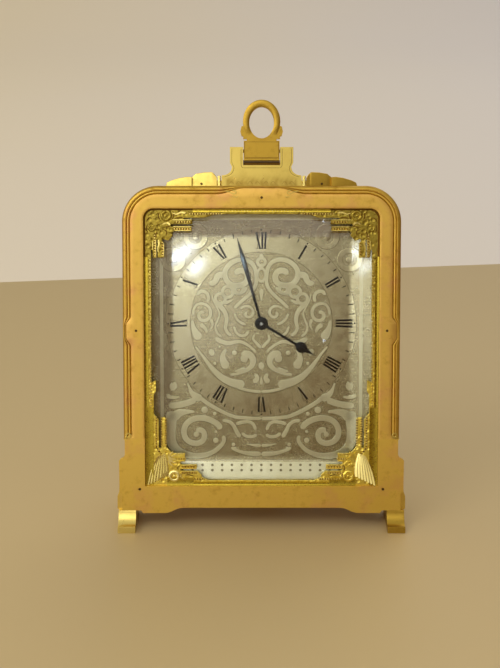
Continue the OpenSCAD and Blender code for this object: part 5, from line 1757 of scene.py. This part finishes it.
@dataclass
class Stage:
    """Camera, lamps, table and backdrop."""

    pitch: float = 22.5
    distance: float = 400.0
    lens: float = 60.4
    aim: tuple[float, float, float] = (-4.04, 30.24, 66.2)
    below: float = 3.87
    # Two soft glints on the glass: millimetres right of and above the dial centre, width and
    # height in metres, degrees turned, and strength
    glints: tuple[tuple[float, float, Pair, float, float], ...] = (
        (-28.4, 24.6, (0.030, 0.014), 35, 1.7), (-22.6, 20.2, (0.022, 0.013), 50, 1.1),
    )
    # Each is a pile of lamps, from a large dim one to a small bright one: size, radiance
    pile: tuple[Pair, ...] = (
        (1.5, 0.5), (1.25, 0.7), (1.05, 1.0), (0.85, 1.5), (0.65, 2.2), (0.4, 3.0),
    )

    def camera(self) -> None:
        """Places the camera at the photograph's height, distance and tilt. It looks at a point
        below and left of the dial centre.
        """
        p = math.radians(self.pitch)
        x, y, z = self.aim
        target = Vector((x, y - self.below * math.sin(p), z - self.below * math.cos(p))) / 1000
        data = bpy.data.cameras.new("camera")
        data.lens, data.sensor_width = self.lens, 36.0
        data.clip_start, data.clip_end = 0.01, 20.0
        cam = bpy.data.objects.new("camera", data)
        cam.location = target - Vector((0, math.cos(p), -math.sin(p))) * self.distance / 1000
        cam.rotation_euler = (math.pi / 2 - p, 0.0, 0.0)
        bpy.context.scene.collection.objects.link(cam)
        bpy.context.scene.camera = cam

    def lamp(
        self, name: str, angles: Pair, distance: float, size: Pair, radiance: float, colour: str,
        at: Vector | None = None, shape: str = "RECTANGLE", roll: float = 0.0,
    ) -> bpy.types.Object:
        """An area lamp seen from the clock at given angles, facing it.

        Args:
            name: the lamp's name.
            angles: degrees to the right of straight in front, and above level.
            distance: metres.
            size: width and height in metres.
            radiance: 1 is a white surface in full light.
            colour: sRGB hex.
            at: the point it faces; the dial centre if not given.
            shape: RECTANGLE or ELLIPSE.
            roll: degrees that it is turned about its own axis.

        Returns:
            The lamp.
        """
        a, e = (math.radians(angle) for angle in angles)
        centre = at or Vector((0.0, 0.030, 0.066))
        toward = Vector((math.sin(a) * math.cos(e), -math.cos(a) * math.cos(e), math.sin(e)))
        data = bpy.data.lights.new(name, "AREA")
        data.shape, data.size, data.size_y = shape, size[0], size[1]
        filled = math.pi / 4 if shape == "ELLIPSE" else 1
        data.energy = radiance * math.pi * size[0] * size[1] * filled
        data.color = linear(colour)[:3]
        obj = bpy.data.objects.new(name, data)
        obj.location = centre + toward * distance
        obj.rotation_mode = "QUATERNION"
        spin = Quaternion((0.0, 0.0, 1.0), math.radians(roll))
        obj.rotation_quaternion = toward.to_track_quat("Z", "Y") @ spin
        bpy.context.scene.collection.objects.link(obj)
        return obj

    def glint(
        self, name: str, place: Pair, size: Pair, radiance: float, roll: float,
        distance: float = 0.6,
    ) -> None:
        """A small lamp whose mirror image in the glass falls on a wanted spot. Its direction is
        d - 2 (d . n) n, with d from the camera to the spot and n the glass's normal.

        Args:
            name: the lamp's name.
            place: millimetres right of and above the dial centre.
            size: width and height in metres.
            radiance: 1 is a white surface in full light.
            roll: degrees that its long side is turned.
            distance: metres from the glass.
        """
        spot = Vector(stand(np.array([place[0], BevelledGlass.flat_y, DIAL_Z + place[1]])).tolist())
        normal = Vector((0.0, -math.cos(LEAN), math.sin(LEAN)))
        sight = (spot - bpy.context.scene.camera.location).normalized()
        out = sight - 2 * sight.dot(normal) * normal
        angles = math.degrees(math.atan2(out.x, -out.y)), math.degrees(math.asin(out.z))
        away = distance + size[0]
        lamp = self.lamp(name, angles, away, size, radiance, "#D2E2FF", spot, "ELLIPSE", roll)
        lamp.light_linking.receiver_collection = self.glass_only

    def world(self) -> None:
        """A pale room: bright above and to the left, warm and dark near the table's level."""
        world = bpy.data.worlds.new("room")
        world.use_nodes = True
        tree = world.node_tree
        tree.nodes.clear()
        way = add(tree, "SeparateXYZ", {0: add(tree, "TexCoord").outputs["Generated"]}).outputs
        slope = {0: way["X"], 1: -0.6, 2: way["Z"]}
        lean = add(tree, "Math", slope, operation="MULTIPLY_ADD")
        span = {"Value": way["Y"], "From Min": -0.75, "From Max": -0.2, "To Max": 0.5}
        behind = add(tree, "MapRange", span, interpolation_type="SMOOTHSTEP")
        high = add(tree, "Math", {0: lean, 1: behind}, operation="ADD")
        span = {"Value": high, "From Min": 0.08, "From Max": 0.5}
        rise = add(tree, "MapRange", span, interpolation_type="SMOOTHSTEP")
        tones = {0: rise, 6: linear("#6A4A18"), 7: linear("#D6D2CA")}
        tone = add(tree, "Mix", tones, data_type="RGBA")
        seen = add(tree, "LightPath").outputs["Is Camera Ray"]
        shown = add(tree, "Mix", {0: seen, 6: tone, 7: linear("#D8D4CC")}, data_type="RGBA")
        back = add(tree, "Background", {"Color": shown, "Strength": 0.95})
        add(tree, "OutputWorld", {"Surface": back})
        bpy.context.scene.world = world

    def surface(
        self, name: str, points: Array, faces: Array, colours: tuple[str, str], patch: float,
        rough: float,
    ) -> None:
        """One plain stage surface with a faint tone change: random patches, and a painted light
        that shifts from the first tone on the left to the second on the right.

        Args:
            name: the surface's name.
            points: metres.
            faces: its quads.
            colours: the two tones, sRGB hex.
            patch: size of the tone change in metres.
            rough: roughness.
        """
        mesh = bpy.data.meshes.new(name)
        mesh.from_pydata(points, [], faces.tolist())
        mesh.shade_smooth()
        material, tree, place = new_material(name + "_finish")
        noise = add(tree, "TexNoise", {"Vector": place, "Scale": 1 / patch, "Detail": 3.0})
        # Painted light: the tone shifts from left to right
        span = {"Value": add(tree, "SeparateXYZ", {0: place}).outputs["X"]}
        span |= {"From Min": -0.4, "From Max": 0.4, "To Max": 0.8}
        mixed = {0: noise, 1: 0.25, 2: add(tree, "MapRange", span)}
        share = add(tree, "Math", mixed, operation="MULTIPLY_ADD", use_clamp=True)
        tones = {0: share, 6: linear(colours[0]), 7: linear(colours[1])}
        tone = add(tree, "Mix", tones, data_type="RGBA")
        shader = add(tree, "BsdfPrincipled", {"Base Color": tone, "Roughness": rough})
        add(tree, "OutputMaterial", {"Surface": shader})
        mesh.materials.append(material)
        obj = bpy.data.objects.new(name, mesh)
        bpy.context.scene.collection.objects.link(obj)

    def surfaces(self) -> None:
        """A pale table whose far edge crosses the view, and a paler sweep behind and below it.
        The sweep is level and then rises as a parabola.
        """
        top = np.array([[-1.6, 0.0965], [1.6, 0.4485], [1.6, -1.0], [-1.6, -1.0]])
        slab = np.concatenate([np.insert(top, 2, z, axis=1) for z in (0.0, -0.03)])
        sides = [[0, 3, 2, 1], [4, 5, 6, 7], [0, 1, 5, 4], [1, 2, 6, 5], [2, 3, 7, 6], [3, 0, 4, 7]]
        self.surface("table", slab, np.array(sides), ("#D2BA86", "#CCB484"), 0.12, 0.55)
        t = np.linspace(0, 1, 40)
        y, z = -1.5 + 4.5 * t, 1.6 * np.clip((t - 0.62) / 0.38, 0, 1) ** 2 - 0.031
        x = np.linspace(-2.5, 2.5, 3)
        grid = np.stack(np.broadcast_arrays(x, y[:, None], z[:, None]), axis=-1)
        self.surface("sweep", grid.reshape(-1, 3), quads(40, 3), ("#DCCDAE", "#D2CCCA"), 0.5, 0.8)

    def build(self) -> None:
        """Sets the whole stage. The small lamps light the glass only."""
        self.glass_only = bpy.data.collections.new("glass_only")
        self.glass_only.objects.link(bpy.data.objects["glass_bevelled"])
        self.camera()
        self.world()
        self.surfaces()
        self.lamp("front_softbox", (-27, 37), 2.2, (1.9, 1.5), 1.1, "#FFFBF4")
        self.lamp("front_halo", (-27, 36), 2.24, (2.3, 1.9), 0.5, "#FFFBF4")
        self.lamp("left_softbox", (-65, 35), 2.0, (1.0, 1.4), 2.4, "#FFFAF2")
        self.lamp("right_fill", (65, 20), 1.2, (0.5, 0.5), 0.25, "#FFE9C8")
        self.lamp("back_softbox", (160, 40), 1.6, (1.0, 1.0), 1.0, "#FFFFFF")
        for u, v, (wide, high), roll, strength in self.glints:
            for share, radiance in self.pile:
                size = (wide * share, high * share)
                self.glint("small_lamp", (u, v), size, radiance * strength, roll)
        self.glint("spark", (22.0, -5.8), (0.0016, 0.0016), 8.0, 0, 0.3)
        bpy.context.scene.view_settings.view_transform = "Standard"


def dress_nodes() -> None:
    """Gives every CAD node the finish of its record slot."""
    slots = {part["node"]: part["material_slot"] for part in frame["record"]["subparts"]}
    for name, obj in frame["nodes"].items():
        material = finish_of(SLOT_FINISHES[slots[name]][0])
        if not obj.material_slots:
            obj.data.materials.append(material)
        for holder in obj.material_slots:
            holder.material = material
        LOG.info("node %s: %s", name, material.name)


def main() -> None:
    """Builds the clock's visible work in order, then the stage."""
    dress_nodes()
    FrontFrame().build()
    Mask().build()
    Cresting().build()
    CaseBack().build()
    Dial().build()
    Hands().build()
    Hairspring().build()
    BevelledGlass().build()
    Stage().build()


if __name__ == "__main__":
    main()
